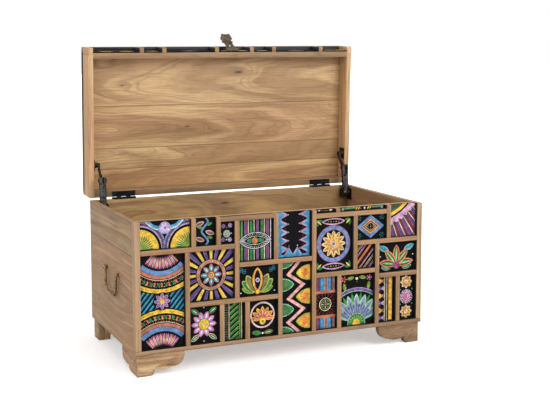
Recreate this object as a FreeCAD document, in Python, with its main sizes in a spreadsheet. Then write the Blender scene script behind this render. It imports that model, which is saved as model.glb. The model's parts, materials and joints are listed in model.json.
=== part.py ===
"""Damchiya chest: a wooden trunk on bracket feet with a patchwork front and lid.

The chest stands with its front towards -Y and its width along X. The lid is drawn
shut and then swung about its hinge pins to the open pose that it rests in. Left-hand
pieces are drawn once and mirrored to the right across the chest's middle plane.
"""
import FreeCAD
import Part
import math
import os
from types import SimpleNamespace
from FreeCAD import Placement, Rotation, Vector

doc = FreeCAD.newDocument("damchiya_chest")
sheet = doc.addObject("Spreadsheet::Sheet", "Sizes")

# Driving sizes, in millimetres and degrees
DRIVING_SIZES = (
    # Carcase
    ("width", 900.0, "outside width"),
    ("depth", 460.0, "front plane to back plane"),
    ("box_top", 427.0, "top edge of the box above the floor"),
    ("foot_height", 61.0, "underside of the box above the floor"),
    ("side_thick", 17.0, "side panels and corner stiles"),
    ("back_thick", 22.0, "back panel"),
    ("front_thick", 14.0, "board behind the patchwork"),
    ("base_thick", 12.0, "bottom panel and front rail"),
    ("stile_depth", 22.0, "corner stiles and front rail, front to back"),
    # Patchwork
    ("batten_width", 14.0, "face width of a batten"),
    ("batten_depth", 16.0, "how far a batten stands off its board"),
    ("border_width", 17.0, "border battens round the lid's top"),
    ("tile_thick", 4.0, "painted tiles"),
    ("tile_gap", 0.5, "gap round a tile"),
    # Lid
    ("lid_gap", 2.0, "gap between box and lid when shut"),
    ("lid_rail_height", 59.0, "height of the lid's rails"),
    ("lid_rail_thick", 18.0, "front and rear rails of the lid"),
    ("lid_board_thick", 14.0, "top board of the lid"),
    ("open_angle", 88.0, "how far the lid stands open at rest"),
    # Feet
    ("foot_inset", 5.5, "feet set back from the carcase"),
    ("foot_thick", 19.0, "thickness of the foot brackets"),
    ("foot_length", 137.0, "shaped bracket along the front or back"),
    ("side_foot_length", 145.0, "shaped bracket along the end"),
    ("rear_foot_side", 32.0, "plain side piece of a rear foot"),
    ("block_width", 30.0, "glue block of a front foot, both ways"),
    ("block_height", 45.0, "glue block of a front foot"),
    ("rear_block_width", 18.0, "glue block of a rear foot, along the back"),
    # Screws
    ("screw_radius", 1.6, "shank"),
    ("screw_head_radius", 3.1, "countersunk head"),
    ("screw_head_depth", 1.5, "countersunk head"),
    ("screw_length", 12.0, "whole screw"),
    ("screw_clearance", 0.2, "space round a screw"),
    # Butt hinges
    ("hinge_width", 75.0, "leaf, along the pin"),
    ("hinge_inset", 72.0, "side of the chest to the hinge"),
    ("leaf_thick", 1.5, "hinge leaves"),
    ("leaf_reach_box", 20.0, "leaf across the back panel's edge"),
    ("leaf_reach_lid", 17.0, "leaf across the lid's rear rail"),
    ("pin_setback", 4.0, "pin behind the back plane"),
    ("barrel_radius", 3.4, "hinge barrel"),
    ("hinge_pin_radius", 1.5, "hinge pin"),
    ("running_clearance", 0.05, "pin to bore, on the radius"),
    ("knuckle_gap", 0.3, "between knuckles"),
    ("pin_head_thick", 1.2, "pin heads"),
    # Folding stays
    ("stay_pivot_front", 38.0, "foot pivot in front of the back plane"),
    ("stay_pivot_drop", 22.0, "foot pivot below the box's top edge"),
    ("stay_lid_reach", 100.0, "lid pivot from the lid's rear plane"),
    ("stay_lid_rise", 12.0, "lid pivot above the lid's rim"),
    ("stay_off_wall", 16.0, "middle of the stay from the side panel"),
    ("stay_body_radius", 11.0, "damper body"),
    ("stay_eye_radius", 10.0, "rounded eye at the body's foot"),
    ("stay_collar_radius", 12.0, "collar at the body's top"),
    ("stay_collar_height", 16.0, "collar, below the body's end"),
    ("stay_end", 9.0, "body beyond its elbow pivot"),
    ("stay_slot", 6.6, "slot that the arm folds into"),
    ("stay_slot_depth", 21.5, "slot below the elbow pivot"),
    ("stay_arm_thick", 5.2, "arm"),
    ("stay_arm_radius", 7.0, "eyes of the arm"),
    ("stay_arm_bow", 6.0, "how far the arm bows"),
    ("stay_pin_radius", 3.0, "foot pivot pin"),
    ("elbow_pin_radius", 2.5, "elbow pin"),
    ("stay_plate_thick", 2.0, "bracket plates"),
    ("stay_cheek_radius", 13.0, "foot bracket's cheek"),
    ("stay_flange_drop", 24.0, "foot bracket's flange below the pivot"),
    ("stay_side_gap", 0.3, "running gap beside a moving part"),
    ("stay_boss_root", 11.0, "lid bracket's boss at its plate"),
    ("stay_boss_tip", 7.0, "lid bracket's boss at its end"),
    ("lid_plate_length", 36.0, "lid bracket's plate"),
    ("lid_plate_height", 33.0, "lid bracket's plate"),
    ("rivet_radius", 4.5, "rivet head at the arm's end"),
    ("rivet_thick", 2.0, "rivet head at the arm's end"),
    # Hasp
    ("hasp_width", 43.0, "plate and barrel"),
    ("hasp_length", 59.0, "pin to the strap's bend"),
    ("hasp_lip", 25.0, "lip beyond the bend"),
    ("hasp_lip_angle", 36.0, "lip turned away from the chest"),
    ("hasp_thick", 2.0, "strap"),
    ("hasp_plate_height", 33.0, "plate above the pin"),
    ("hasp_barrel_radius", 3.5, "barrel"),
    ("hasp_pin_radius", 1.6, "pin"),
    ("hasp_slot_length", 14.0, "slot for a staple"),
    ("hasp_slot_width", 5.0, "slot for a staple"),
    ("hasp_rise", 27.0, "strap off the lid's front at rest, in degrees"),
    # Bail handles
    ("handle_height", 257.0, "posts above the floor"),
    ("handle_front", 211.0, "middle of the handle behind the front plane"),
    ("post_spacing", 130.0, "post to post"),
    ("post_ball_radius", 6.5, "ball of a post"),
    ("post_stand_off", 7.8, "ball off the side panel"),
    ("post_neck_radius", 4.2, "neck of a post"),
    ("rosette_radius", 8.0, "rosette"),
    ("rosette_thick", 1.6, "rosette"),
    ("shank_radius", 3.0, "shank through the side panel"),
    ("nut_radius", 6.0, "nut, across corners"),
    ("nut_thick", 5.0, "nut"),
    ("shank_proud", 1.0, "shank beyond its nut"),
    ("bail_radius", 3.7, "bail's rod"),
    ("bail_drop", 66.0, "pivot to the middle of the grip"),
    ("bail_corner", 34.0, "corner of the bail"),
    ("bail_side_gap", 0.6, "bail beside its post"),
    ("journal_radius", 2.8, "bail's ends in the posts"),
    # Overrun of cutting shapes
    ("overrun", 1.0, "how far a cut runs past a face"),
)

# Sizes worked out from the driving ones
DERIVED_SIZES = (
    ("inner_width", "=width - 2 * side_thick"),
    ("side_length", "=depth - stile_depth"),
    ("panel_height", "=box_top - foot_height"),
    ("base_depth", "=depth - stile_depth - back_thick"),
    ("field_height", "=box_top - foot_height - base_thick"),
    ("lid_board_depth", "=depth - batten_depth - 2 * lid_rail_thick"),
    ("top_field_width", "=width - 2 * border_width"),
    ("top_field_depth", "=depth - 2 * border_width"),
)

for row, (alias, value, note) in enumerate(DRIVING_SIZES, start=1):
    sheet.set("A%d" % row, note)
    sheet.set("B%d" % row, str(value))
    sheet.setAlias("B%d" % row, alias)
for row, (alias, formula) in enumerate(DERIVED_SIZES, start=1):
    sheet.set("D%d" % row, formula)
    sheet.setAlias("D%d" % row, alias)
doc.recompute()
aliases = [entry[0] for entry in DRIVING_SIZES + DERIVED_SIZES]
s = SimpleNamespace(**{alias: float(sheet.get(alias)) for alias in aliases})

# Layout of the patchwork, as shares of its field's width and height
EDGES = ("left", "right", "bottom", "top")
FRONT_SHARES = {
    "left": 0.0, "u1": 0.155, "u2": 0.177, "u3": 0.2615, "u4": 0.272, "u5": 0.325,
    "u6": 0.361, "u7": 0.4635, "u8": 0.4785, "u9": 0.6025, "u10": 0.6975, "u11": 0.692,
    "u12": 0.7585, "u13": 0.843, "u14": 0.8875, "u15": 0.9255, "right": 1.0,
    "bottom": 0.0, "c1": 0.322, "c2": 0.4065, "c3": 0.459, "c4": 0.6065, "c5": 0.7005,
    "c6": 0.760, "c7": 0.949, "c8": 0.980, "top": 1.0,
}
FRONT_UPRIGHTS = (
    ("u1", "bottom", "c6"), ("u2", "c6", "top"), ("u3", "c6", "top"), ("u4", "bottom", "c1"),
    ("u5", "c1", "c8"), ("u6", "bottom", "c1"), ("u7", "c4", "top"), ("u8", "bottom", "c4"),
    ("u9", "bottom", "top"), ("u10", "bottom", "c3"), ("u11", "c7", "top"),
    ("u12", "c3", "c7"), ("u13", "bottom", "c5"), ("u14", "c5", "top"),
    ("u15", "bottom", "c2"),
)
FRONT_CROSSES = (
    ("c1", "u1", "u8"), ("c2", "u13", "right"), ("c3", "u9", "u13"), ("c4", "u5", "u9"),
    ("c5", "u12", "right"), ("c6", "left", "u5"), ("c7", "u9", "u14"), ("c8", "u3", "u7"),
)
# Each tile's left, right, bottom and top lines
FRONT_TOP_TILES = (
    ("left", "u2", "c6", "top"), ("u2", "u3", "c6", "top"), ("u3", "u5", "c6", "c8"),
    ("u5", "u7", "c4", "c8"), ("u7", "u9", "c4", "top"), ("u9", "u11", "c7", "top"),
    ("u11", "u14", "c7", "top"), ("u14", "right", "c5", "top"),
)
FRONT_MIDDLE_TILES = (
    ("u1", "u5", "c1", "c6"), ("u5", "u8", "c1", "c4"), ("u9", "u12", "c3", "c7"),
    ("u12", "u14", "c5", "c7"), ("u12", "u13", "c3", "c5"), ("u13", "right", "c2", "c5"),
)
FRONT_LOWER_TILES = (
    ("left", "u1", "bottom", "c6"), ("u1", "u4", "bottom", "c1"), ("u4", "u6", "bottom", "c1"),
    ("u6", "u8", "bottom", "c1"), ("u8", "u9", "bottom", "c4"), ("u9", "u10", "bottom", "c3"),
    ("u10", "u13", "bottom", "c3"), ("u13", "u15", "bottom", "c2"),
    ("u15", "right", "bottom", "c2"),
)
LID_FRONT_LINES = ("left", "u2", "u3", "u7", "u9", "u11", "u14", "right")
TOP_SHARES = {
    "left": 0.0, "u1": 0.205, "u2": 0.355, "u3": 0.520, "u4": 0.655, "u5": 0.800, "right": 1.0,
    "bottom": 0.0, "c1": 0.270, "c2": 0.345, "c3": 0.430, "c4": 0.520, "c5": 0.655,
    "c6": 0.700, "top": 1.0,
}
TOP_UPRIGHTS = (
    ("u1", "bottom", "top"), ("u2", "bottom", "c4"), ("u3", "bottom", "top"),
    ("u4", "c1", "c5"), ("u5", "bottom", "top"),
)
TOP_CROSSES = (
    ("c2", "left", "u1"), ("c6", "left", "u1"), ("c4", "u1", "u3"), ("c1", "u3", "u5"),
    ("c5", "u3", "u5"), ("c3", "u5", "right"),
)
TOP_TILES = (
    ("left", "u1", "bottom", "c2"), ("left", "u1", "c2", "c6"), ("left", "u1", "c6", "top"),
    ("u1", "u2", "bottom", "c4"), ("u2", "u3", "bottom", "c4"), ("u1", "u3", "c4", "top"),
    ("u3", "u5", "bottom", "c1"), ("u3", "u4", "c1", "c5"), ("u4", "u5", "c1", "c5"),
    ("u3", "u5", "c5", "top"), ("u5", "right", "bottom", "c3"), ("u5", "right", "c3", "top"),
)

# Outline of a bracket foot, as shares of its length and height: the flat toe, a rounded
# corner up to a cusp, a shallow lobe to a second cusp and a round end
FOOT_OUTLINE_SHARES = {
    "toe": (0.312, 0.0), "toe_mid": (0.350, 0.115), "cusp": (0.366, 0.330),
    "lobe_mid": (0.580, 0.225), "second_cusp": (0.766, 0.310),
    "end_mid": (0.950, 0.520), "end": (1.0, 0.780),
}
# The same along the end: a longer toe and a shallower lobe
END_FOOT_OUTLINE_SHARES = {
    "toe": (0.430, 0.0), "toe_mid": (0.505, 0.070), "cusp": (0.570, 0.230),
    "lobe_mid": (0.690, 0.205), "second_cusp": (0.810, 0.265),
    "end_mid": (0.955, 0.350), "end": (1.0, 0.600),
}
# Outlines of the hasp's strap and lip, as shares of their half width and length
STRAP_SHARES = {
    "base": (1.0, 0.080), "shoulder": (1.0, 0.130), "waist_mid": (0.72, 0.300),
    "waist": (0.62, 0.500), "neck": (0.64, 0.760), "ear_mid": (0.86, 0.870),
    "ear": (0.68, 0.955), "end": (0.68, 1.0),
}
LIP_SHARES = {
    "base": (0.68, 0.0), "cheek_mid": (0.85, 0.120), "cheek": (0.94, 0.340),
    "shoulder": (0.60, 1.0), "tip_mid": (0.30, 0.930), "tip": (0.0, 0.905),
}
STRAP_SLOT_SHARE = 0.420
STRAP_KNUCKLE_SHARE = 0.400
# The hasp's place between the two battens beside it
HASP_SHARE = 0.450
PIN_HEAD_SHARE = 1.6
# Folding stay: body and arm as shares of the distance that they span when open
STAY_BODY_SHARE = 0.6186
STAY_ARM_SHARE = 0.4367
HINGE_SCREW_SHARE = 0.36
KNUCKLE_COUNT = 5

half_width = s.width / 2
inner_half = half_width - s.side_thick
field_bottom = s.foot_height + s.base_thick
back_face = s.depth - s.back_thick
tile_face = s.batten_depth - s.tile_thick
pin_y = s.depth + s.pin_setback
pin_z = s.box_top + s.lid_gap / 2
rim_z = s.box_top + s.lid_gap
lid_board_top = rim_z + s.lid_rail_height
lid_top = lid_board_top + s.batten_depth


def swung(y, z):
    """Where a point of the shut lid stands when the lid is open."""
    turn = math.radians(s.open_angle)
    out = y - pin_y
    rise = z - pin_z
    return (pin_y + out * math.cos(turn) + rise * math.sin(turn),
            pin_z - out * math.sin(turn) + rise * math.cos(turn))


# The origin is the middle of the box round the chest at rest, on the floor
rear_reach = max(swung(s.depth, lid_top)[0], swung(0, lid_top)[0])
origin_y = rear_reach / 2
AXIS_X = Vector(1, 0, 0)
AXIS_Y = Vector(0, 1, 0)
AXIS_Z = Vector(0, 0, 1)
chest_frame = Placement(Vector(0, -origin_y, 0), Rotation())
lid_swing = Placement(Vector(0, 0, 0), Rotation(AXIS_X, -s.open_angle), Vector(0, pin_y, pin_z))
lid_frame = chest_frame.multiply(lid_swing)

ALONG = {
    "x": Rotation(AXIS_Z, AXIS_X),
    "-x": Rotation(AXIS_Z, -AXIS_X),
    "y": Rotation(AXIS_Z, AXIS_Y),
    "-y": Rotation(AXIS_Z, -AXIS_Y),
    "z": Rotation(),
    "-z": Rotation(AXIS_X, 180),
}


def bind(thing, **sizes):
    """Bind properties to sheet expressions, in which each name is an alias."""
    for name, expression in sizes.items():
        words = expression.replace("(", "( ").replace(")", " )").split()
        cells = ["Sizes." + word if word in aliases else word for word in words]
        thing.setExpression(name, " ".join(cells))
    return thing


def box(name, frame, corner, sizes):
    """A squared piece with its low corner at corner; sizes are three expressions."""
    piece = doc.addObject("Part::Box", name)
    bind(piece, Length=sizes[0], Width=sizes[1], Height=sizes[2])
    piece.Placement = frame.multiply(Placement(Vector(*corner), Rotation()))
    return piece


def rod(name, frame, start, along, radius, length):
    """A round piece from start along an axis."""
    piece = doc.addObject("Part::Cylinder", name)
    bind(piece, Radius=radius, Height=length)
    piece.Placement = frame.multiply(Placement(Vector(*start), ALONG[along]))
    return piece


def cone(name, frame, start, along, radius_start, radius_end, length):
    """A tapered round piece from start along an axis."""
    piece = doc.addObject("Part::Cone", name)
    bind(piece, Radius1=radius_start, Radius2=radius_end, Height=length)
    piece.Placement = frame.multiply(Placement(Vector(*start), ALONG[along]))
    return piece


def ball(name, frame, centre, radius):
    """A whole sphere."""
    piece = doc.addObject("Part::Sphere", name)
    bind(piece, Radius=radius)
    piece.Placement = frame.multiply(Placement(Vector(*centre), Rotation()))
    return piece


def fused(name, members):
    """One solid made of several that meet."""
    piece = doc.addObject("Part::MultiFuse", name)
    piece.Shapes = members
    return piece


def cut(name, base, tools):
    """A piece with everything in tools taken out of it."""
    piece = doc.addObject("Part::Cut", name)
    piece.Base = base
    piece.Tool = tools[0] if len(tools) == 1 else fused(name + "_cutters", tools)
    return piece


def group(name, members):
    """Like pieces that stay separate solids under one name."""
    piece = doc.addObject("Part::Compound", name)
    piece.Links = members
    return piece


def mirrored(name, source):
    """The right-hand twin of a left-hand piece."""
    piece = doc.addObject("Part::Mirroring", name)
    piece.Source = source
    piece.Normal = AXIS_X
    piece.Base = Vector(0, 0, 0)
    return piece


def padded(name, frame, plane, outline, thickness, holes=()):
    """A flat piece: a closed outline of corners and arcs, padded off an origin plane."""
    body = doc.addObject("PartDesign::Body", name)
    sketch = body.newObject("Sketcher::SketchObject", name + "_outline")
    origin = [item for item in body.Origin.OriginFeatures if item.Role == plane]
    sketch.AttachmentSupport = (origin[0], [""])
    sketch.MapMode = "FlatFace"
    here = Vector(*outline[0], 0)
    closing = [] if outline[-1][-2:] == outline[0] else [outline[0]]
    for step in outline[1:] + closing:
        if len(step) == 4:
            there = Vector(step[2], step[3], 0)
            sketch.addGeometry(Part.Arc(here, Vector(step[0], step[1], 0), there), False)
        else:
            there = Vector(*step, 0)
            sketch.addGeometry(Part.LineSegment(here, there), False)
        here = there
    for centre, radius in holes:
        sketch.addGeometry(Part.Circle(Vector(*centre, 0), AXIS_Z, radius), False)
    pad = body.newObject("PartDesign::Pad", name + "_pad")
    pad.Profile = sketch
    bind(pad, Length=thickness)
    # The XZ plane faces -Y, so its pad is turned to grow towards +Y
    pad.Reversed = plane == "XZ_Plane"
    body.Tip = pad
    body.Placement = frame
    return body


def screw(name, frame, head, along):
    """A countersunk screw driven along an axis, and the space that it takes."""
    solids = []
    for suffix, extra in (("", ""), ("_space", " + screw_clearance")):
        shank = rod(name + suffix + "_shank", frame, head, along,
                    "screw_radius" + extra, "screw_length" + extra)
        sink = cone(name + suffix + "_head", frame, head, along,
                    "screw_head_radius" + extra, "screw_radius" + extra, "screw_head_depth")
        solids.append(fused(name + suffix, [shank, sink]))
    return solids


def along_layout(shares, line, origin, field):
    """The place of a layout line's middle."""
    return origin + shares[line] * field


def clear_run(shares, low, high, field, extra=""):
    """The length between two layout lines' near sides, as an expression."""
    battens = (low not in EDGES) + (high not in EDGES)
    share = round(shares[high] - shares[low], 6)
    return "%s * %r - batten_width * %r %s" % (field, share, battens / 2, extra)


def near_side(shares, line, origin, field):
    """Where the clear run above a layout line starts."""
    start = along_layout(shares, line, origin, field)
    return start if line in EDGES else start + s.batten_width / 2


nodes = []

# Panels of the carcase
handle_holes = []
post_ys = (s.handle_front - s.post_spacing / 2, s.handle_front + s.post_spacing / 2)
for number, post_y in enumerate(post_ys, start=1):
    handle_holes.append(rod("handle_hole_%d" % number, chest_frame,
                            (-half_width - s.overrun, post_y, s.handle_height), "x",
                            "shank_radius + screw_clearance", "side_thick + 2 * overrun"))
stay_pivot_y = s.depth - s.stay_pivot_front
stay_pivot_z = s.box_top - s.stay_pivot_drop
screw_offset = s.stay_cheek_radius * 0.6
flange_low = stay_pivot_z - s.stay_flange_drop
stay_screws = []
stay_spaces = []
for number, offset in enumerate((-screw_offset, screw_offset), start=1):
    driven, space = screw("stay_screw_%d" % number, chest_frame,
                          (-inner_half + s.stay_plate_thick, stay_pivot_y + offset,
                           flange_low + s.screw_head_radius * 2), "-x")
    stay_screws.append(driven)
    stay_spaces.append(space)
side_blank = box("side_blank", chest_frame, (-half_width, s.stile_depth, s.foot_height),
                 ("side_thick", "side_length", "panel_height"))
side_left = cut("side_panel_left", side_blank, handle_holes + stay_spaces)
nodes += [side_left, mirrored("side_panel_right", side_left)]

hinge_x = -half_width + s.hinge_inset + s.hinge_width / 2
hinge_low = hinge_x - s.hinge_width / 2


def leaf_set(name, frame, surface_z, leaf_z, reach, reach_cell, along):
    """A mortise, three screws and their spaces for one leaf of the left hinge."""
    mortise = box(name + "_mortise", frame, (hinge_low, s.depth - reach, leaf_z),
                  ("hinge_width", reach_cell + " + overrun", "leaf_thick"))
    driven = []
    spaces = []
    for number in (-1, 0, 1):
        head = (hinge_x + number * HINGE_SCREW_SHARE * s.hinge_width,
                s.depth - reach / 2, surface_z)
        solid, space = screw("%s_screw_%d" % (name, number + 2), frame, head, along)
        driven.append(solid)
        spaces.append(space)
    return mortise, driven, spaces


def both_sides(items):
    """Left-hand shapes with their right-hand twins."""
    return items + [mirrored(item.Label + "_right", item) for item in items]


box_leaf = leaf_set("box_leaf", chest_frame, s.box_top, s.box_top - s.leaf_thick,
                    s.leaf_reach_box, "leaf_reach_box", "-z")
back_blank = box("back_blank", chest_frame, (-inner_half, back_face, s.foot_height),
                 ("inner_width", "back_thick", "panel_height"))
nodes.append(cut("back_panel", back_blank, both_sides([box_leaf[0]] + box_leaf[2])))
nodes.append(box("bottom_panel", chest_frame, (-inner_half, s.stile_depth, s.foot_height),
                 ("inner_width", "base_depth", "base_thick")))
nodes.append(box("front_board", chest_frame, (-inner_half, s.batten_depth, field_bottom),
                 ("inner_width", "front_thick", "field_height")))
stile_left = box("front_stile_left", chest_frame, (-half_width, 0, field_bottom),
                 ("side_thick", "stile_depth", "field_height"))
nodes += [stile_left, mirrored("front_stile_right", stile_left)]
nodes.append(box("front_rail", chest_frame, (-half_width, 0, s.foot_height),
                 ("width", "stile_depth", "base_thick")))

# Battens and painted tiles of the front
uprights = []
for line, low, high in FRONT_UPRIGHTS:
    middle = along_layout(FRONT_SHARES, line, -inner_half, s.inner_width)
    start = near_side(FRONT_SHARES, low, field_bottom, s.field_height)
    uprights.append(box("upright_" + line, chest_frame,
                        (middle - s.batten_width / 2, 0, start),
                        ("batten_width", "batten_depth",
                         clear_run(FRONT_SHARES, low, high, "field_height"))))
nodes.append(group("front_upright_battens", uprights))
crosses = []
for line, low, high in FRONT_CROSSES:
    middle = along_layout(FRONT_SHARES, line, field_bottom, s.field_height)
    start = near_side(FRONT_SHARES, low, -inner_half, s.inner_width)
    crosses.append(box("cross_" + line, chest_frame,
                       (start, 0, middle - s.batten_width / 2),
                       (clear_run(FRONT_SHARES, low, high, "inner_width"), "batten_depth",
                        "batten_width")))
nodes.append(group("front_cross_battens", crosses))
LESS_GAPS = "- 2 * tile_gap"
for name, tiles in (("front_tiles_top", FRONT_TOP_TILES),
                    ("front_tiles_middle", FRONT_MIDDLE_TILES),
                    ("front_tiles_lower", FRONT_LOWER_TILES)):
    members = []
    for number, (left, right, bottom, top) in enumerate(tiles, start=1):
        corner = (near_side(FRONT_SHARES, left, -inner_half, s.inner_width) + s.tile_gap,
                  tile_face,
                  near_side(FRONT_SHARES, bottom, field_bottom, s.field_height) + s.tile_gap)
        members.append(box("%s_%d" % (name, number), chest_frame, corner,
                           (clear_run(FRONT_SHARES, left, right, "inner_width", LESS_GAPS),
                            "tile_thick",
                            clear_run(FRONT_SHARES, bottom, top, "field_height", LESS_GAPS))))
    nodes.append(group(name, members))


# Bracket feet
def foot_outline(start, length, outline_shares):
    """The shaped bracket's outline from start, measured along the bracket."""
    point = {}
    for name, (along, up) in outline_shares.items():
        point[name] = (along * length, up * s.foot_height)
    return [(start, 0), point["toe"], point["toe_mid"] + point["cusp"],
            point["lobe_mid"] + point["second_cusp"], point["end_mid"] + point["end"],
            (length, s.foot_height), (start, s.foot_height)]


foot_x = -half_width + s.foot_inset
rear_foot_y = s.depth - s.foot_inset - s.foot_thick
front_foot = padded("front_foot_left",
                    chest_frame.multiply(Placement(Vector(foot_x, s.foot_inset, 0), Rotation())),
                    "XZ_Plane", foot_outline(0, s.foot_length, FOOT_OUTLINE_SHARES),
                    "foot_thick")
side_foot = padded("side_foot_front_left",
                   chest_frame.multiply(Placement(Vector(foot_x, s.foot_inset, 0), Rotation())),
                   "YZ_Plane",
                   foot_outline(s.foot_thick, s.side_foot_length, END_FOOT_OUTLINE_SHARES),
                   "foot_thick")
rear_foot = padded("rear_foot_left",
                   chest_frame.multiply(Placement(Vector(foot_x, rear_foot_y, 0), Rotation())),
                   "XZ_Plane", foot_outline(0, s.foot_length, FOOT_OUTLINE_SHARES),
                   "foot_thick")
rear_side = box("side_foot_rear_left", chest_frame, (foot_x, rear_foot_y - s.rear_foot_side, 0),
                ("foot_thick", "rear_foot_side", "foot_height"))
for foot in (front_foot, side_foot, rear_foot, rear_side):
    nodes += [foot, mirrored(foot.Label.replace("_left", "_right"), foot)]
block_x = foot_x + s.foot_thick
blocks = [box("glue_block_front", chest_frame,
              (block_x, s.foot_inset + s.foot_thick, s.foot_height - s.block_height),
              ("block_width", "block_width", "block_height")),
          box("glue_block_rear", chest_frame, (block_x, rear_foot_y - s.rear_foot_side, 0),
              ("rear_block_width", "rear_foot_side", "foot_height"))]
nodes.append(group("foot_glue_blocks", both_sides(blocks)))

# Lid: rails, top board and stiles
rail_left = box("lid_side_rail_left", lid_frame, (-half_width, s.stile_depth, rim_z),
                ("side_thick", "side_length", "lid_rail_height"))
stay_lid_y = s.depth - s.stay_lid_reach
stay_lid_z = rim_z + s.stay_lid_rise
plate_low = stay_lid_z - s.stay_boss_root
stay_lid_screws = []
stay_lid_spaces = []
for number, offset in enumerate((-0.3, 0.3), start=1):
    driven, space = screw("stay_lid_screw_%d" % number, lid_frame,
                          (-inner_half + s.stay_plate_thick,
                           stay_lid_y + offset * s.lid_plate_length,
                           plate_low + s.lid_plate_height - s.screw_head_radius * 1.5), "-x")
    stay_lid_screws.append(driven)
    stay_lid_spaces.append(space)
lid_side_left = cut("lid_side_left", rail_left, stay_lid_spaces)
nodes += [lid_side_left, mirrored("lid_side_right", lid_side_left)]
hasp_left, hasp_right = (along_layout(FRONT_SHARES, line, -inner_half, s.inner_width)
                         for line in ("u7", "u9"))
hasp_x = hasp_left + HASP_SHARE * (hasp_right - hasp_left)
hasp_low = hasp_x - s.hasp_width / 2
hasp_y = tile_face - s.hasp_barrel_radius - s.knuckle_gap
hasp_z = rim_z + s.hasp_barrel_radius
hasp_screws = []
hasp_spaces = []
hasp_screw_z = hasp_z + s.hasp_plate_height - s.screw_head_radius * 2
for number, (across, up) in enumerate(((-0.32, hasp_screw_z), (0.32, hasp_screw_z),
                                       (0, (hasp_z + hasp_screw_z) / 2)), start=1):
    driven, space = screw("hasp_screw_%d" % number, lid_frame,
                          (hasp_x + across * s.hasp_width, tile_face - s.leaf_thick, up), "y")
    hasp_screws.append(driven)
    hasp_spaces.append(space)
front_rail_blank = box("lid_front_blank", lid_frame, (-inner_half, s.batten_depth, rim_z),
                       ("inner_width", "lid_rail_thick", "lid_rail_height"))
nodes.append(cut("lid_front_rail", front_rail_blank, hasp_spaces))
lid_leaf = leaf_set("lid_leaf", lid_frame, rim_z, rim_z, s.leaf_reach_lid, "leaf_reach_lid", "z")
rear_rail_blank = box("lid_rear_blank", lid_frame,
                      (-inner_half, s.depth - s.lid_rail_thick, rim_z),
                      ("inner_width", "lid_rail_thick", "lid_rail_height"))
nodes.append(cut("lid_rear_rail", rear_rail_blank, both_sides([lid_leaf[0]] + lid_leaf[2])))
nodes.append(box("lid_top_board", lid_frame,
                 (-inner_half, s.batten_depth + s.lid_rail_thick,
                  lid_board_top - s.lid_board_thick),
                 ("inner_width", "lid_board_depth", "lid_board_thick")))
lid_stile = box("lid_stile_left", lid_frame, (-half_width, 0, rim_z),
                ("side_thick", "stile_depth", "lid_rail_height"))
nodes.append(group("lid_front_stiles", both_sides([lid_stile])))

# Lid: battens and tiles of its front
lid_battens = []
for line in LID_FRONT_LINES[1:-1]:
    middle = along_layout(FRONT_SHARES, line, -inner_half, s.inner_width)
    lid_battens.append(box("lid_upright_" + line, lid_frame,
                           (middle - s.batten_width / 2, 0, rim_z),
                           ("batten_width", "batten_depth", "lid_rail_height")))
nodes.append(group("lid_front_battens", lid_battens))
lid_tiles = []
for left, right in zip(LID_FRONT_LINES[:-1], LID_FRONT_LINES[1:]):
    corner = (near_side(FRONT_SHARES, left, -inner_half, s.inner_width) + s.tile_gap,
              tile_face, rim_z + s.tile_gap)
    tile = box("lid_tile_" + left, lid_frame, corner,
               (clear_run(FRONT_SHARES, left, right, "inner_width", LESS_GAPS), "tile_thick",
                "lid_rail_height " + LESS_GAPS))
    under_hasp = left == "u7"
    lid_tiles.append(cut("lid_tile_hasp", tile, hasp_spaces) if under_hasp else tile)
nodes.append(group("lid_front_tiles", lid_tiles))

# Lid: border, battens and tiles of its top
top_x = -half_width + s.border_width
border_side = box("border_left", lid_frame, (-half_width, s.border_width, lid_board_top),
                  ("border_width", "top_field_depth", "batten_depth"))
border_front = box("border_front", lid_frame, (-half_width, 0, lid_board_top),
                   ("width", "border_width", "batten_depth"))
border_rear = box("border_rear", lid_frame,
                  (-half_width, s.depth - s.border_width, lid_board_top),
                  ("width", "border_width", "batten_depth"))
nodes.append(group("lid_top_border", [border_front, border_rear] + both_sides([border_side])))
top_battens = []
for line, low, high in TOP_UPRIGHTS:
    middle = along_layout(TOP_SHARES, line, top_x, s.top_field_width)
    start = near_side(TOP_SHARES, low, s.border_width, s.top_field_depth)
    top_battens.append(box("top_upright_" + line, lid_frame,
                           (middle - s.batten_width / 2, start, lid_board_top),
                           ("batten_width",
                            clear_run(TOP_SHARES, low, high, "top_field_depth"),
                            "batten_depth")))
for line, low, high in TOP_CROSSES:
    middle = along_layout(TOP_SHARES, line, s.border_width, s.top_field_depth)
    start = near_side(TOP_SHARES, low, top_x, s.top_field_width)
    top_battens.append(box("top_cross_" + line, lid_frame,
                           (start, middle - s.batten_width / 2, lid_board_top),
                           (clear_run(TOP_SHARES, low, high, "top_field_width"),
                            "batten_width", "batten_depth")))
nodes.append(group("lid_top_battens", top_battens))
top_tiles = []
for number, (left, right, bottom, top) in enumerate(TOP_TILES, start=1):
    corner = (near_side(TOP_SHARES, left, top_x, s.top_field_width) + s.tile_gap,
              near_side(TOP_SHARES, bottom, s.border_width, s.top_field_depth) + s.tile_gap,
              lid_board_top)
    top_tiles.append(box("top_tile_%d" % number, lid_frame, corner,
                         (clear_run(TOP_SHARES, left, right, "top_field_width", LESS_GAPS),
                          clear_run(TOP_SHARES, bottom, top, "top_field_depth", LESS_GAPS),
                          "tile_thick")))
nodes.append(group("lid_top_tiles", top_tiles))

# Butt hinges: knuckles 1, 3 and 5 belong to the box, 2 and 4 to the lid
PITCH_EXPRESSION = "hinge_width / %d" % KNUCKLE_COUNT
knuckle_pitch = s.hinge_width / KNUCKLE_COUNT


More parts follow.
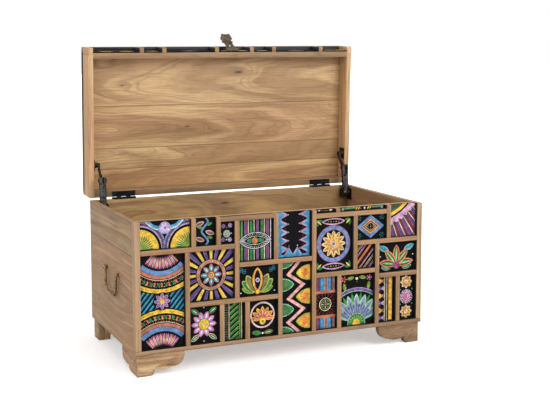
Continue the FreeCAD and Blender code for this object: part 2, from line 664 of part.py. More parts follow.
def hinge_leaf(name, frame, leaf_z, reach, reach_cell, knuckles, spaces):
    """A leaf with its knuckles, bored for the pin and the screws."""
    members = [box(name + "_plate", frame, (hinge_low, s.depth - reach, leaf_z),
                   ("hinge_width", reach_cell, "leaf_thick"))]
    for number in knuckles:
        low = hinge_low + number * knuckle_pitch + s.knuckle_gap / 2
        members.append(box("%s_root_%d" % (name, number), frame,
                           (low, s.depth - s.leaf_thick, leaf_z),
                           (PITCH_EXPRESSION + " - knuckle_gap", "pin_setback + leaf_thick",
                            "leaf_thick")))
        members.append(rod("%s_knuckle_%d" % (name, number), frame, (low, pin_y, pin_z), "x",
                           "barrel_radius", PITCH_EXPRESSION + " - knuckle_gap"))
    bore = rod(name + "_bore", frame, (hinge_low - s.overrun, pin_y, pin_z), "x",
               "hinge_pin_radius + running_clearance", "hinge_width + 2 * overrun")
    return cut(name, fused(name + "_blank", members), [bore] + spaces)


box_hinge = hinge_leaf("box_hinge", chest_frame, s.box_top - s.leaf_thick, s.leaf_reach_box,
                       "leaf_reach_box", (0, 2, 4), box_leaf[2])
nodes.append(group("hinge_leaves_box", both_sides([box_hinge])))
lid_hinge = hinge_leaf("lid_hinge", lid_frame, rim_z, s.leaf_reach_lid, "leaf_reach_lid",
                       (1, 3), lid_leaf[2])
nodes.append(group("hinge_leaves_lid", both_sides([lid_hinge])))


def headed_pin(name, frame, start, radius, length):
    """A pin along X with a head at each end."""
    x, y, z = start
    shaft = rod(name + "_shaft", frame, start, "x", radius, length)
    head_radius = "%s * %r" % (radius, PIN_HEAD_SHARE)
    heads = [rod(name + "_head_low", frame, (x - s.pin_head_thick, y, z), "x",
                 head_radius, "pin_head_thick")]
    end = rod(name + "_head_high", frame, start, "x", head_radius, "pin_head_thick")
    doc.recompute([shaft])
    shaft_length = shaft.Height.Value
    end.Placement = frame.multiply(Placement(Vector(x + shaft_length, y, z), ALONG["x"]))
    return fused(name, [shaft] + heads + [end])


hinge_pin = headed_pin("hinge_pin_left", chest_frame, (hinge_low, pin_y, pin_z),
                       "hinge_pin_radius", "hinge_width")
nodes.append(group("hinge_pins", both_sides([hinge_pin])))

# Folding stays: where their pivots stand with the lid open and shut
lid_pivot_open = swung(stay_lid_y, stay_lid_z)
span = math.dist(lid_pivot_open, (stay_pivot_y, stay_pivot_z))
body_length = STAY_BODY_SHARE * span
arm_length = STAY_ARM_SHARE * span


def elbow(lid_pivot):
    """The elbow's place for a place of the lid pivot, always on the front side."""
    out = lid_pivot[0] - stay_pivot_y
    rise = lid_pivot[1] - stay_pivot_z
    reach = math.hypot(out, rise)
    along = (body_length ** 2 - arm_length ** 2 + reach ** 2) / (2 * reach)
    off = math.sqrt(body_length ** 2 - along ** 2)
    return (stay_pivot_y + (along * out - off * rise) / reach,
            stay_pivot_z + (along * rise + off * out) / reach)


def lean(low, high):
    """The turn about +X that lays the Z axis on the line from low to high, in degrees."""
    return math.degrees(math.atan2(low[0] - high[0], high[1] - low[1])) % 360


elbow_open = elbow(lid_pivot_open)
elbow_shut = elbow((stay_lid_y, stay_lid_z))
stay_pivot = (stay_pivot_y, stay_pivot_z)
body_lean_open = lean(stay_pivot, elbow_open)
body_lean_shut = lean(stay_pivot, elbow_shut)
arm_lean_open = lean(elbow_open, lid_pivot_open)
arm_lean_shut = lean(elbow_shut, (stay_lid_y, stay_lid_z))
stay_x = -inner_half + s.stay_off_wall


def stay_frame(pivot, turn):
    """A frame at a pivot of the left stay with its Z axis along the link."""
    return chest_frame.multiply(Placement(Vector(stay_x, *pivot), Rotation(AXIS_X, turn)))


body_frame = stay_frame(stay_pivot, body_lean_open)
arm_frame = stay_frame(elbow_open, arm_lean_open)
sheet.set("F1", str(body_length))
sheet.setAlias("F1", "stay_body_length")
sheet.set("F2", str(arm_length))
sheet.setAlias("F2", "stay_arm_length")
aliases += ["stay_body_length", "stay_arm_length"]

# Stay body: a round damper housing with an eye below and a slotted collar above
tube = rod("stay_tube", body_frame, (0, 0, 0), "z", "stay_body_radius",
           "stay_body_length + stay_end")
eye = rod("stay_eye", body_frame, (-s.stay_eye_radius, 0, 0), "x", "stay_eye_radius",
          "2 * stay_eye_radius")
collar = rod("stay_collar", body_frame,
             (0, 0, body_length + s.stay_end - s.stay_collar_height), "z",
             "stay_collar_radius", "stay_collar_height")
slot = box("stay_slot", body_frame,
           (-s.stay_slot / 2, -s.stay_collar_radius - s.overrun,
            body_length - s.stay_slot_depth),
           ("stay_slot", "2 * stay_collar_radius + 2 * overrun",
            "stay_slot_depth + stay_end + overrun"))
foot_bore = rod("stay_foot_bore", body_frame, (-s.stay_body_radius - s.overrun, 0, 0), "x",
                "stay_pin_radius + running_clearance", "2 * stay_body_radius + 2 * overrun")
elbow_bore = rod("stay_elbow_bore", body_frame,
                 (-s.stay_collar_radius - s.overrun, 0, body_length), "x",
                 "elbow_pin_radius + running_clearance",
                 "2 * stay_collar_radius + 2 * overrun")
stay_body = cut("stay_body_left", fused("stay_body_blank", [tube, eye, collar]),
                [slot, foot_bore, elbow_bore])
nodes += [stay_body, mirrored("stay_body_right", stay_body)]
elbow_pin = headed_pin("stay_elbow_pin_left", body_frame,
                       (-s.stay_collar_radius, 0, body_length), "elbow_pin_radius",
                       "2 * stay_collar_radius")
nodes += [elbow_pin, mirrored("stay_elbow_pin_right", elbow_pin)]

# Stay arm: a bowed strip with an eye at the elbow and a rivet head at the lid
eye_r = s.stay_arm_radius
neck_r = eye_r * 0.85
bow = s.stay_arm_bow
arm_outline = [(-neck_r, eye_r * 0.66), (0, -eye_r, neck_r, eye_r * 0.66),
               (neck_r * 0.9 + bow, arm_length / 2, neck_r, arm_length - eye_r * 0.66),
               (0, arm_length + eye_r, -neck_r, arm_length - eye_r * 0.66),
               (-neck_r * 0.9 + bow, arm_length / 2, -neck_r, eye_r * 0.66)]
arm_back = arm_frame.multiply(Placement(Vector(-s.stay_arm_thick / 2, 0, 0), Rotation()))
arm_strip = padded("stay_arm_strip", arm_back, "YZ_Plane", arm_outline, "stay_arm_thick",
                   holes=(((0, 0), s.elbow_pin_radius + s.running_clearance),))
rivet = rod("stay_rivet", arm_frame, (s.stay_arm_thick / 2, 0, arm_length), "x",
            "rivet_radius", "rivet_thick")
stay_arm = fused("stay_arm_left", [arm_strip, rivet])
nodes += [stay_arm, mirrored("stay_arm_right", stay_arm)]

# Stay foot bracket: a flange on the side panel, a web behind and a rounded inner cheek
bracket_frame = chest_frame.multiply(
    Placement(Vector(-inner_half, stay_pivot_y, stay_pivot_z), Rotation()))
cheek_near = s.stay_off_wall + s.stay_collar_radius + s.stay_side_gap
BRACKET_DEPTH = "2 * stay_cheek_radius + stay_plate_thick"
CHEEK_FAR = "stay_off_wall + stay_collar_radius + stay_side_gap + stay_plate_thick"
flange = box("stay_flange", bracket_frame, (0, -s.stay_cheek_radius, -s.stay_flange_drop),
             ("stay_plate_thick", BRACKET_DEPTH, "stay_flange_drop + stay_cheek_radius"))
web = box("stay_web", bracket_frame, (0, s.stay_cheek_radius, -s.stay_cheek_radius),
          (CHEEK_FAR, "stay_plate_thick", "2 * stay_cheek_radius"))
cheek_disc = rod("stay_cheek_disc", bracket_frame, (cheek_near, 0, 0), "x",
                 "stay_cheek_radius", "stay_plate_thick")
cheek_plate = box("stay_cheek_plate", bracket_frame, (cheek_near, 0, -s.stay_cheek_radius),
                  ("stay_plate_thick", "stay_cheek_radius + stay_plate_thick",
                   "2 * stay_cheek_radius"))
bracket_bore = rod("stay_bracket_bore", bracket_frame, (-s.overrun, 0, 0), "x",
                   "stay_pin_radius + running_clearance", CHEEK_FAR + " + 2 * overrun")
stay_bracket = cut("stay_bracket_left",
                   fused("stay_bracket_blank", [flange, web, cheek_disc, cheek_plate]),
                   [bracket_bore] + stay_spaces)
nodes += [stay_bracket, mirrored("stay_bracket_right", stay_bracket)]
foot_pin_shaft = rod("stay_foot_shaft", bracket_frame, (0, 0, 0), "x", "stay_pin_radius",
                     CHEEK_FAR + " + pin_head_thick")
spacer_start = s.stay_plate_thick
foot_pin_spacer = rod("stay_foot_spacer", bracket_frame, (spacer_start, 0, 0), "x",
                      "2 * stay_pin_radius",
                      "stay_off_wall - stay_body_radius - stay_side_gap - stay_plate_thick")
foot_pin_washer = rod("stay_foot_washer", bracket_frame,
                      (s.stay_off_wall + s.stay_body_radius + s.stay_side_gap, 0, 0), "x",
                      "2 * stay_pin_radius", "stay_collar_radius - stay_body_radius")
foot_pin_head = rod("stay_foot_head", bracket_frame, (cheek_near + s.stay_plate_thick, 0, 0),
                    "x", "1.6 * stay_pin_radius", "pin_head_thick")
foot_pin = fused("stay_foot_pin_left",
                 [foot_pin_shaft, foot_pin_spacer, foot_pin_washer, foot_pin_head])
nodes.append(group("stay_foot_pins", both_sides([foot_pin])))

# Stay lid bracket: a screwed plate with a boss that ends just short of the arm
lid_bracket_frame = lid_frame.multiply(
    Placement(Vector(-inner_half, stay_lid_y, stay_lid_z), Rotation()))
lid_plate = box("stay_lid_plate", lid_bracket_frame,
                (0, -s.lid_plate_length / 2, plate_low - stay_lid_z),
                ("stay_plate_thick", "lid_plate_length", "lid_plate_height"))
lid_boss = cone("stay_lid_boss", lid_bracket_frame, (s.stay_plate_thick, 0, 0), "x",
                "stay_boss_root", "stay_boss_tip",
                "stay_off_wall - stay_arm_thick / 2 - stay_side_gap - stay_plate_thick")
lid_bracket = cut("stay_lid_bracket_left", fused("stay_lid_blank", [lid_plate, lid_boss]),
                  stay_lid_spaces)
nodes += [lid_bracket, mirrored("stay_lid_bracket_right", lid_bracket)]

# Hasp: a plate on the lid's front, a pin and a shaped strap
hasp_frame = lid_frame.multiply(Placement(Vector(hasp_x, hasp_y, hasp_z), Rotation()))
outer_share = (1 - STRAP_KNUCKLE_SHARE) / 2
OUTER_KNUCKLE = "hasp_width * %r - knuckle_gap" % outer_share
hasp_half = s.hasp_width / 2
plate_y = tile_face - s.leaf_thick - hasp_y
hasp_members = [box("hasp_plate_flat", hasp_frame,
                    (-hasp_half, plate_y, s.hasp_barrel_radius + s.knuckle_gap),
                    ("hasp_width", "leaf_thick",
                     "hasp_plate_height - hasp_barrel_radius - knuckle_gap"))]
for name, start in (("low", -hasp_half),
                    ("high", hasp_half - outer_share * s.hasp_width + s.knuckle_gap)):
    hasp_members.append(rod("hasp_knuckle_" + name, hasp_frame, (start, 0, 0), "x",
                            "hasp_barrel_radius", OUTER_KNUCKLE))
    hasp_members.append(box("hasp_root_" + name, hasp_frame, (start, plate_y, 0),
                            (OUTER_KNUCKLE, "leaf_thick",
                             "hasp_barrel_radius + leaf_thick")))
hasp_bore = rod("hasp_bore", hasp_frame, (-hasp_half - s.overrun, 0, 0), "x",
                "hasp_pin_radius + running_clearance", "hasp_width + 2 * overrun")
nodes.append(cut("hasp_plate", fused("hasp_plate_blank", hasp_members),
                 [hasp_bore] + hasp_spaces))
nodes.append(headed_pin("hasp_pin", hasp_frame, (-hasp_half, 0, 0), "hasp_pin_radius",
                        "hasp_width"))
strap_frame = hasp_frame.multiply(Placement(Vector(0, 0, 0), Rotation(AXIS_X, s.hasp_rise)))


def strap_outline():
    """The strap's outline: up its right side and down its left side."""
    point = {name: (across * hasp_half, along * s.hasp_length)
             for name, (across, along) in STRAP_SHARES.items()}
    flip = {name: (-across, along) for name, (across, along) in point.items()}
    return [flip["base"], point["base"], point["shoulder"],
            point["waist_mid"] + point["waist"], point["neck"],
            point["ear_mid"] + point["ear"], point["end"], flip["end"], flip["ear"],
            flip["ear_mid"] + flip["neck"], flip["waist"],
            flip["waist_mid"] + flip["shoulder"]]


def lip_outline():
    """The lip's outline: up its right side to the tip and down its left side."""
    point = {name: (across * hasp_half, along * s.hasp_lip)
             for name, (across, along) in LIP_SHARES.items()}
    flip = {name: (-across, along) for name, (across, along) in point.items()}
    return [flip["base"], point["base"], point["cheek_mid"] + point["cheek"],
            point["shoulder"], point["tip_mid"] + point["tip"],
            flip["tip_mid"] + flip["shoulder"], flip["cheek"],
            flip["cheek_mid"] + flip["base"]]


strap_back = strap_frame.multiply(Placement(Vector(0, -s.hasp_thick / 2, 0), Rotation()))
strap_flat = padded("strap_flat", strap_back, "XZ_Plane", strap_outline(), "hasp_thick")
lip_frame = strap_frame.multiply(Placement(Vector(0, 0, s.hasp_length),
                                           Rotation(AXIS_X, s.hasp_lip_angle)))
lip_back = lip_frame.multiply(Placement(Vector(0, -s.hasp_thick / 2, 0), Rotation()))
strap_lip = padded("strap_lip", lip_back, "XZ_Plane", lip_outline(), "hasp_thick")
end_half = STRAP_SHARES["end"][0] * hasp_half
strap_bend = rod("strap_bend", strap_frame, (-end_half, 0, s.hasp_length), "x",
                 "hasp_thick / 2", "hasp_width * %r" % STRAP_SHARES["end"][0])
knuckle_half = STRAP_KNUCKLE_SHARE * s.hasp_width / 2
strap_knuckle = rod("strap_knuckle", strap_frame, (-knuckle_half, 0, 0), "x",
                    "hasp_barrel_radius", "hasp_width * %r" % STRAP_KNUCKLE_SHARE)
strap_root = box("strap_root", strap_frame, (-knuckle_half, -s.hasp_thick / 2, 0),
                 ("hasp_width * %r" % STRAP_KNUCKLE_SHARE, "hasp_thick",
                  "hasp_length * 0.1"))
strap_bore = rod("strap_bore", strap_frame, (-hasp_half, 0, 0), "x",
                 "hasp_pin_radius + running_clearance", "hasp_width")
strap_slot = box("strap_slot", strap_frame,
                 (-s.hasp_slot_width / 2, -s.hasp_thick,
                  STRAP_SLOT_SHARE * s.hasp_length - s.hasp_slot_length / 2),
                 ("hasp_slot_width", "2 * hasp_thick", "hasp_slot_length"))
strap_blank = fused("strap_blank",
                    [strap_flat, strap_bend, strap_lip, strap_knuckle, strap_root])
nodes.append(cut("hasp_strap", strap_blank, [strap_bore, strap_slot]))

# Screws, by the body that holds them
nodes.append(group("screws_box", both_sides(box_leaf[1] + stay_screws)))
nodes.append(group("screws_lid", both_sides(lid_leaf[1] + stay_lid_screws)))
nodes.append(group("hasp_screws", hasp_screws))

# Bail handles: ball posts with rosettes, shanks and nuts, and a swinging bail
post_x = -half_width - s.post_stand_off
# The right-hand handle is the left one turned half round about the upright between them
half_turn = Placement(Vector(0, 2 * s.handle_front, 0), Rotation(AXIS_Z, 180))
HANDLE_FRAMES = {"left": chest_frame, "right": chest_frame.multiply(half_turn)}
leg_y = s.post_spacing / 2 - s.post_ball_radius - s.bail_radius - s.bail_side_gap
JOURNAL_LENGTH = "bail_radius + bail_side_gap + 2 * post_ball_radius + overrun"
LEG_OFFSET = "(post_spacing / 2 - post_ball_radius - bail_radius - bail_side_gap)"


def handle_post(label, frame, post_y):
    """A ball post with its rosette and shank, bored for the bail, and its nut."""
    knob = ball(label + "_ball", frame, (post_x, post_y, s.handle_height),
                "post_ball_radius")
    neck = rod(label + "_neck", frame, (post_x, post_y, s.handle_height), "x",
               "post_neck_radius", "post_stand_off")
    rosette = cone(label + "_rosette", frame, (-half_width, post_y, s.handle_height),
                   "-x", "rosette_radius", "post_ball_radius", "rosette_thick")
    shank = rod(label + "_shank", frame, (-half_width, post_y, s.handle_height), "x",
                "shank_radius", "side_thick + nut_thick + shank_proud")
    bore = rod(label + "_bore", frame,
               (post_x, post_y - s.post_ball_radius - s.overrun, s.handle_height), "y",
               "journal_radius + running_clearance", "2 * post_ball_radius + 2 * overrun")
    post = cut(label, fused(label + "_blank", [knob, neck, rosette, shank]), [bore])
    blank = doc.addObject("Part::Prism", label + "_nut_blank")
    blank.Polygon = 6
    bind(blank, Circumradius="nut_radius", Height="nut_thick")
    blank.Placement = frame.multiply(
        Placement(Vector(-inner_half, post_y, s.handle_height), ALONG["x"]))
    nut_bore = rod(label + "_nut_bore", frame,
                   (-inner_half - s.overrun, post_y, s.handle_height), "x",
                   "shank_radius + running_clearance", "nut_thick + 2 * overrun")
    return post, cut(label + "_nut", blank, [nut_bore])


def handle_bail(label, frame):
    """A bail: a grip, two rounded corners, two legs and the journals in the posts."""
    pivot = frame.multiply(Placement(Vector(post_x, s.handle_front, s.handle_height),
                                     Rotation()))
    members = [rod(label + "_grip", pivot, (0, -leg_y + s.bail_corner, -s.bail_drop), "y",
                   "bail_radius", "2 * %s - 2 * bail_corner" % LEG_OFFSET)]
    for name, sign, along in (("front", -1, "-y"), ("rear", 1, "y")):
        members.append(rod("%s_leg_%s" % (label, name), pivot,
                           (0, sign * leg_y, -s.bail_drop + s.bail_corner), "z",
                           "bail_radius", "bail_drop - bail_corner"))
        members.append(ball("%s_top_%s" % (label, name), pivot, (0, sign * leg_y, 0),
                            "bail_radius"))
        members.append(rod("%s_journal_%s" % (label, name), pivot, (0, sign * leg_y, 0),
                           along, "journal_radius", JOURNAL_LENGTH))
        corner = doc.addObject("Part::Torus", "%s_corner_%s" % (label, name))
        bind(corner, Radius1="bail_corner", Radius2="bail_radius")
        corner.Angle3 = 90
        # The ring stands in the YZ plane, and its quarter joins the leg to the grip
        upright = Rotation(AXIS_Y, 90)
        quarter = Rotation(AXIS_X, 270 if sign < 0 else 0)
        middle = Vector(0, sign * (leg_y - s.bail_corner), -s.bail_drop + s.bail_corner)
        corner.Placement = pivot.multiply(Placement(middle, quarter.multiply(upright)))
        members.append(corner)
    return fused(label, members)


nuts = []
for side, side_frame in HANDLE_FRAMES.items():
    posts = []
    for number, post_y in enumerate(post_ys, start=1):
        post, nut = handle_post("post_%s_%d" % (side, number), side_frame, post_y)
        posts.append(post)
        nuts.append(nut)
    nodes.append(group("handle_posts_" + side, posts))
    nodes.append(handle_bail("handle_bail_" + side, side_frame))
nodes.append(group("handle_nuts", nuts))

doc.recompute()

# Every object must have been made, and every node must be a sound shape
for item in doc.Objects:
    if "Invalid" in item.State or "Error" in item.State:
        raise RuntimeError("%s was not made: %s" % (item.Label, item.State))
os.makedirs("parts", exist_ok=True)
whole = FreeCAD.BoundBox()
for node in nodes:
    shape = node.Shape
    if shape.isNull() or not shape.isValid() or not shape.Solids:
        raise RuntimeError("%s is not a sound solid" % node.Label)
    whole.add(shape.BoundBox)
    shape.exportStep(os.path.join("parts", node.Label + ".step"))
print("%d nodes, %d solids" % (len(nodes), sum(len(node.Shape.Solids) for node in nodes)))
print("box", whole)


def in_row(x, y, z):
    """A point of the chest in the part's own frame, rounded for printing."""
    return [round(value, 4) for value in (x, y - origin_y, z)]


hasp_pin_open = swung(hasp_y, hasp_z)
print("lid hinge", in_row(0, pin_y, pin_z))
print("stay foot", in_row(stay_x, *stay_pivot), "elbow", in_row(stay_x, *elbow_open))
print("stay lid pivot", in_row(stay_x, *lid_pivot_open))
print("hasp pin", in_row(hasp_x, *hasp_pin_open))
print("handle", in_row(post_x, s.handle_front, s.handle_height))
print("stay body turns", body_lean_shut - body_lean_open,
      "arm turns", arm_lean_shut - arm_lean_open, "lid turns", s.open_angle)
print("origin behind the front plane", origin_y)
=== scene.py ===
"""The damchiya chest as it looks: waxed mango wood, black tiles with raised paint, iron and brass.

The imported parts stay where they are. Wooden parts are shown by copies with their edges
eased, metal parts keep their shape, and the paint is laid on the tiles stroke by stroke.
"""

import json
import logging
import math
import random
from dataclasses import dataclass, field, replace
from enum import Enum
from itertools import cycle
from typing import Callable, ClassVar, Iterable, Sequence, Union

import bmesh
import bpy
from mathutils import Matrix, Vector


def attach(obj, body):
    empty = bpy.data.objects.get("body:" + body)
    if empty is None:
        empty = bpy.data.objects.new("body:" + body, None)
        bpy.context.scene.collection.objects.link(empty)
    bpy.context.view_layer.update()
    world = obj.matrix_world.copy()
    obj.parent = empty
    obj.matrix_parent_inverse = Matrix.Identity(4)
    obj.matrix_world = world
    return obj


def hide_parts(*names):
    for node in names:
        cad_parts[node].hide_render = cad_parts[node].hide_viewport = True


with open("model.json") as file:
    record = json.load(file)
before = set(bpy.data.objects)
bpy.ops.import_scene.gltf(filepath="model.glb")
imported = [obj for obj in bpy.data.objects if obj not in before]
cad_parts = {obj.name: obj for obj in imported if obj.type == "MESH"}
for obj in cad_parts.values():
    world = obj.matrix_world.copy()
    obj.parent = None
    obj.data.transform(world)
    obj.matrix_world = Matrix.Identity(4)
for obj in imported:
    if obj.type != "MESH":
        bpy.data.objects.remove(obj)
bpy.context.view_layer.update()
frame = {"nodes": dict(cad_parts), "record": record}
log = logging.getLogger("chest")

Point = tuple[float, float]
Colour = tuple[float, float, float]
Socket = bpy.types.NodeSocket
Material = bpy.types.Material
Mesh = bmesh.types.BMesh
Vertex = bmesh.types.BMVert
Face = bmesh.types.BMFace
Value = Union[Socket, float]

MILLIMETRE = 0.001
SIDES = ("left", "right")
WELD = 1e-6
FLAT_WITHIN = math.radians(0.5)
SHARP_FROM = math.radians(40)
SMOOTH_BELOW = math.radians(32)


def srgb(red: int, green: int, blue: int) -> Colour:
    """A screen colour, 0 to 255, as the linear values that shaders read.

    Args:
        red: Red of the screen colour.
        green: Green of the screen colour.
        blue: Blue of the screen colour.

    Returns:
        The three linear values.
    """
    shares = (value / 255 for value in (red, green, blue))
    return tuple(v / 12.92 if v < 0.04045 else ((v + 0.055) / 1.055) ** 2.4 for v in shares)


def body_of(node: str) -> str:
    """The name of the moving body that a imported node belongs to."""
    bodies = frame["record"]["behaviour"]["bodies"]
    return next(name for name, members in bodies.items() if node in members)


def slot_of(node: str) -> str:
    """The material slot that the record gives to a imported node."""
    parts = frame["record"]["subparts"]
    return next(part["material_slot"] for part in parts if part["node"] == node)


def joined_mesh(node: str) -> Mesh:
    """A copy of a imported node's mesh, with its loose triangles merged.

    Args:
        node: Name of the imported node.

    Returns:
        The merged mesh, which the caller frees.
    """
    shape = bmesh.new()
    shape.from_mesh(frame["nodes"][node].data)
    bmesh.ops.remove_doubles(shape, verts=shape.verts, dist=WELD)
    return shape


def linked(start: Vertex) -> set[Vertex]:
    """Every point that edges join to one.

    Args:
        start: The point to start from.

    Returns:
        That point and all that it is joined to.
    """
    found, queue = {start}, [start]
    while queue:
        for edge in queue.pop().link_edges:
            for point in edge.verts:
                if point not in found:
                    found.add(point)
                    queue.append(point)
    return found


def islands(shape: Mesh) -> list[set[Vertex]]:
    """The points of each separate solid in a mesh.

    Args:
        shape: The mesh to look through.

    Returns:
        One set of points for each solid, in the mesh's order.
    """
    seen: set[Vertex] = set()
    found = []
    for start in shape.verts:
        if start not in seen:
            found.append(linked(start))
            seen |= found[-1]
    return found


def place(shape: Mesh, name: str,
          materials: Sequence[Material]) -> bpy.types.Object:
    """Turns a mesh under way into an object of the scene and frees it.

    Args:
        shape: The mesh under way.
        name: Name of the object.
        materials: The materials, in the order of the faces' indices.

    Returns:
        The new object.
    """
    mesh = bpy.data.meshes.new(name)
    shape.to_mesh(mesh)
    shape.free()
    for material in materials:
        mesh.materials.append(material)
    piece = bpy.data.objects.new(name, mesh)
    bpy.context.scene.collection.objects.link(piece)
    log.info("%s: %d faces", name, len(mesh.polygons))
    return piece


def eased(node: str, material: Material, edge: float = 0.0,
          shortest: float = 0.0) -> None:
    """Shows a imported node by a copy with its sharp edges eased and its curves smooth.

    Args:
        node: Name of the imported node.
        material: Finish of the copy.
        edge: Width of the eased edges, in metres; 0 leaves them sharp.
        shortest: Edges no longer than this stay sharp.
    """
    shape = joined_mesh(node)
    bmesh.ops.dissolve_limit(shape, angle_limit=FLAT_WITHIN, verts=shape.verts,
                             edges=shape.edges)
    board = shape.verts.layers.float.new("board")
    chance = random.Random(node)
    for members in islands(shape):
        tone = chance.random()
        for point in members:
            point[board] = tone
    if edge:
        sharp = [e for e in shape.edges if e.is_manifold and e.calc_length() > shortest
                 and e.calc_face_angle(0.0) > SHARP_FROM]
        bmesh.ops.bevel(shape, geom=sharp, offset=edge, offset_type="OFFSET", segments=2,
                        profile=0.5, affect="EDGES", material=-1, clamp_overlap=True)
    for face in shape.faces:
        face.smooth = True
    for line in shape.edges:
        line.smooth = line.calc_face_angle(0.0) < SMOOTH_BELOW
    piece = place(shape, node + "_shown", [material])
    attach(piece, body_of(node))
    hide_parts(node)
    slot_of(node)


def dress(node: str, material: Material) -> None:
    """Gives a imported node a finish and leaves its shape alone.

    Args:
        node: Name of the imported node.
        material: The finish.
    """
    piece = frame["nodes"][node]
    for slot in piece.material_slots:
        slot.material = material
    if not piece.material_slots:
        piece.data.materials.append(material)
    log.info("%s: finished", node)


# Finishes

class Bench:
    """A workbench for one material's nodes."""

    def __init__(self, name: str) -> None:
        """Starts a material with a Principled shader.

        Args:
            name: Name of the material.
        """
        self.material = bpy.data.materials.new(name)
        self.material.use_nodes = True
        self.tree = self.material.node_tree
        self.shader = next(n for n in self.tree.nodes if n.type == "BSDF_PRINCIPLED")
        self.spot = self.tree.nodes.new("ShaderNodeTexCoord").outputs["Object"]

    def put(self, socket: Socket, value: object) -> None:
        """Links a socket to another node's output, or sets its own value.

        Args:
            socket: The socket to fill.
            value: An output of another node, or the socket's own value.
        """
        if isinstance(value, Socket):
            self.tree.links.new(value, socket)
        else:
            socket.default_value = value

    def finish(self, **values: object) -> None:
        """Fills the shader's sockets, whose names are given with _ for each space."""
        for name, value in values.items():
            self.put(self.shader.inputs[name.replace("_", " ")], value)

    def maths(self, operation: str, first: Value, second: Value = 0.0,
              clamp: bool = False) -> Socket:
        """One Math node.

        Args:
            operation: What the node works out.
            first: The first value.
            second: The second value.
            clamp: Whether the result is held between 0 and 1.

        Returns:
            The node's output.
        """
        node = self.tree.nodes.new("ShaderNodeMath")
        node.operation = operation
        node.use_clamp = clamp
        self.put(node.inputs[0], first)
        self.put(node.inputs[1], second)
        return node.outputs[0]

    def times(self, first: Value, second: Value) -> Socket:
        """The product of two values."""
        return self.maths("MULTIPLY", first, second)

    def minus(self, first: Value, second: Value) -> Socket:
        """The difference of two values."""
        return self.maths("SUBTRACT", first, second)

    def plus(self, total: Value, *others: Value) -> Value:
        """The sum of several values.

        Args:
            total: The first value.
            others: What is added to it.

        Returns:
            The socket of the sum.
        """
        for other in others:
            total = self.maths("ADD", total, other)
        return total

    def span(self, value: Value, low: float, high: float, start: float = 0.0,
             end: float = 1.0) -> Socket:
        """Maps a value smoothly from one range to another and holds it there.

        Args:
            value: The value to map.
            low: Where the first range begins.
            high: Where the first range ends.
            start: What low becomes.
            end: What high becomes.

        Returns:
            The mapped value.
        """
        node = self.tree.nodes.new("ShaderNodeMapRange")
        node.interpolation_type = "SMOOTHSTEP"
        for name, number in (("Value", value), ("From Min", low), ("From Max", high),
                             ("To Min", start), ("To Max", end)):
            self.put(node.inputs[name], number)
        return node.outputs["Result"]

    def over(self, colour: object, *coats: tuple[Value, object]) -> Socket:
        """Lays colours one after another over a first.

        Args:
            colour: The first colour.
            coats: Pairs of a share and the colour that covers by that share.

        Returns:
            The mixed colour.
        """
        for share, tint in coats:
            node = self.tree.nodes.new("ShaderNodeMix")
            node.data_type = "RGBA"
            self.put(node.inputs[0], share)
            for socket, value in ((node.inputs[6], colour), (node.inputs[7], tint)):
                self.put(socket, (*value, 1.0) if isinstance(value, tuple) else value)
            colour = node.outputs[2]
        return colour

    def combine(self, *values: Value) -> Socket:
        """A vector from three values.

        Args:
            values: Its parts along X, Y and Z.

        Returns:
            The socket of the vector.
        """
        node = self.tree.nodes.new("ShaderNodeCombineXYZ")
        for socket, value in zip(node.inputs, values):
            self.put(socket, value)
        return node.outputs[0]

    def length(self, vector: Socket) -> Socket:
        """How long a vector is.

        Args:
            vector: The vector.

        Returns:
            The socket of its length.
        """
        node = self.tree.nodes.new("ShaderNodeVectorMath")
        node.operation = "LENGTH"
        self.put(node.inputs[0], vector)
        return node.outputs["Value"]

    def noise(self, vector: Socket, scale: float = 1.0, detail: float = 2.0,
              roughness: float = 0.55) -> Socket:
        """One Noise texture's grey value.

        Args:
            vector: Where the texture is read.
            scale: How fast it changes, per metre.
            detail: How many finer patterns are laid over it.
            roughness: How strong the finer patterns are.

        Returns:
            The grey value.
        """
        node = self.tree.nodes.new("ShaderNodeTexNoise")
        for name, value in (("Vector", vector), ("Scale", scale), ("Detail", detail),
                            ("Roughness", roughness)):
            self.put(node.inputs[name], value)
        return node.outputs["Fac"]

    def facing(self, direction: Vector) -> Socket:
        """Finds the faces that look along a direction.

        Args:
            direction: The direction.

        Returns:
            1 on those faces, else 0.
        """
        node = self.tree.nodes.new("ShaderNodeVectorMath")
        node.operation = "DOT_PRODUCT"
        self.put(node.inputs[0], self.spot.node.outputs["Normal"])
        self.put(node.inputs[1], direction)
        return self.span(node.outputs["Value"], 0.75, 0.95)

    def bump(self, height: Value, strength: float, distance: float) -> None:
        """Gives the shader a bump.

        Args:
            height: The height, as a share.
            strength: How strong the bump is.
            distance: What a height of 1 stands for, in metres.
        """
        node = self.tree.nodes.new("ShaderNodeBump")
        for name, value in (("Strength", strength), ("Distance", distance),
                            ("Height", height)):
            self.put(node.inputs[name], value)
        self.finish(Normal=node.outputs["Normal"])


@dataclass(frozen=True)
class Knot:
    """A knot in a board, by its place along and across the grain, in metres."""

    along: float
    across: float
    radius: float


@dataclass(frozen=True)
class Plank:
    """One plank of a glued panel, cut from a log whose heart runs askew behind it.

    Attributes:
        start: Where the plank begins, across the grain, in metres.
        heart: Middle of its figure, across the grain.
        apex: Where along the grain the heart crosses the plank.
        askew: How fast the heart leaves the plank, as a slope.
        depth: Least distance of the heart behind the plank.
        warmth: 0 for greyish wood, 1 for reddish wood.
        shade: Brightness against the other planks.
    """

    start: float
    heart: float
    apex: float = 0.0
    askew: float = 0.08
    depth: float = 0.01
    warmth: float = 0.5
    shade: float = 1.0


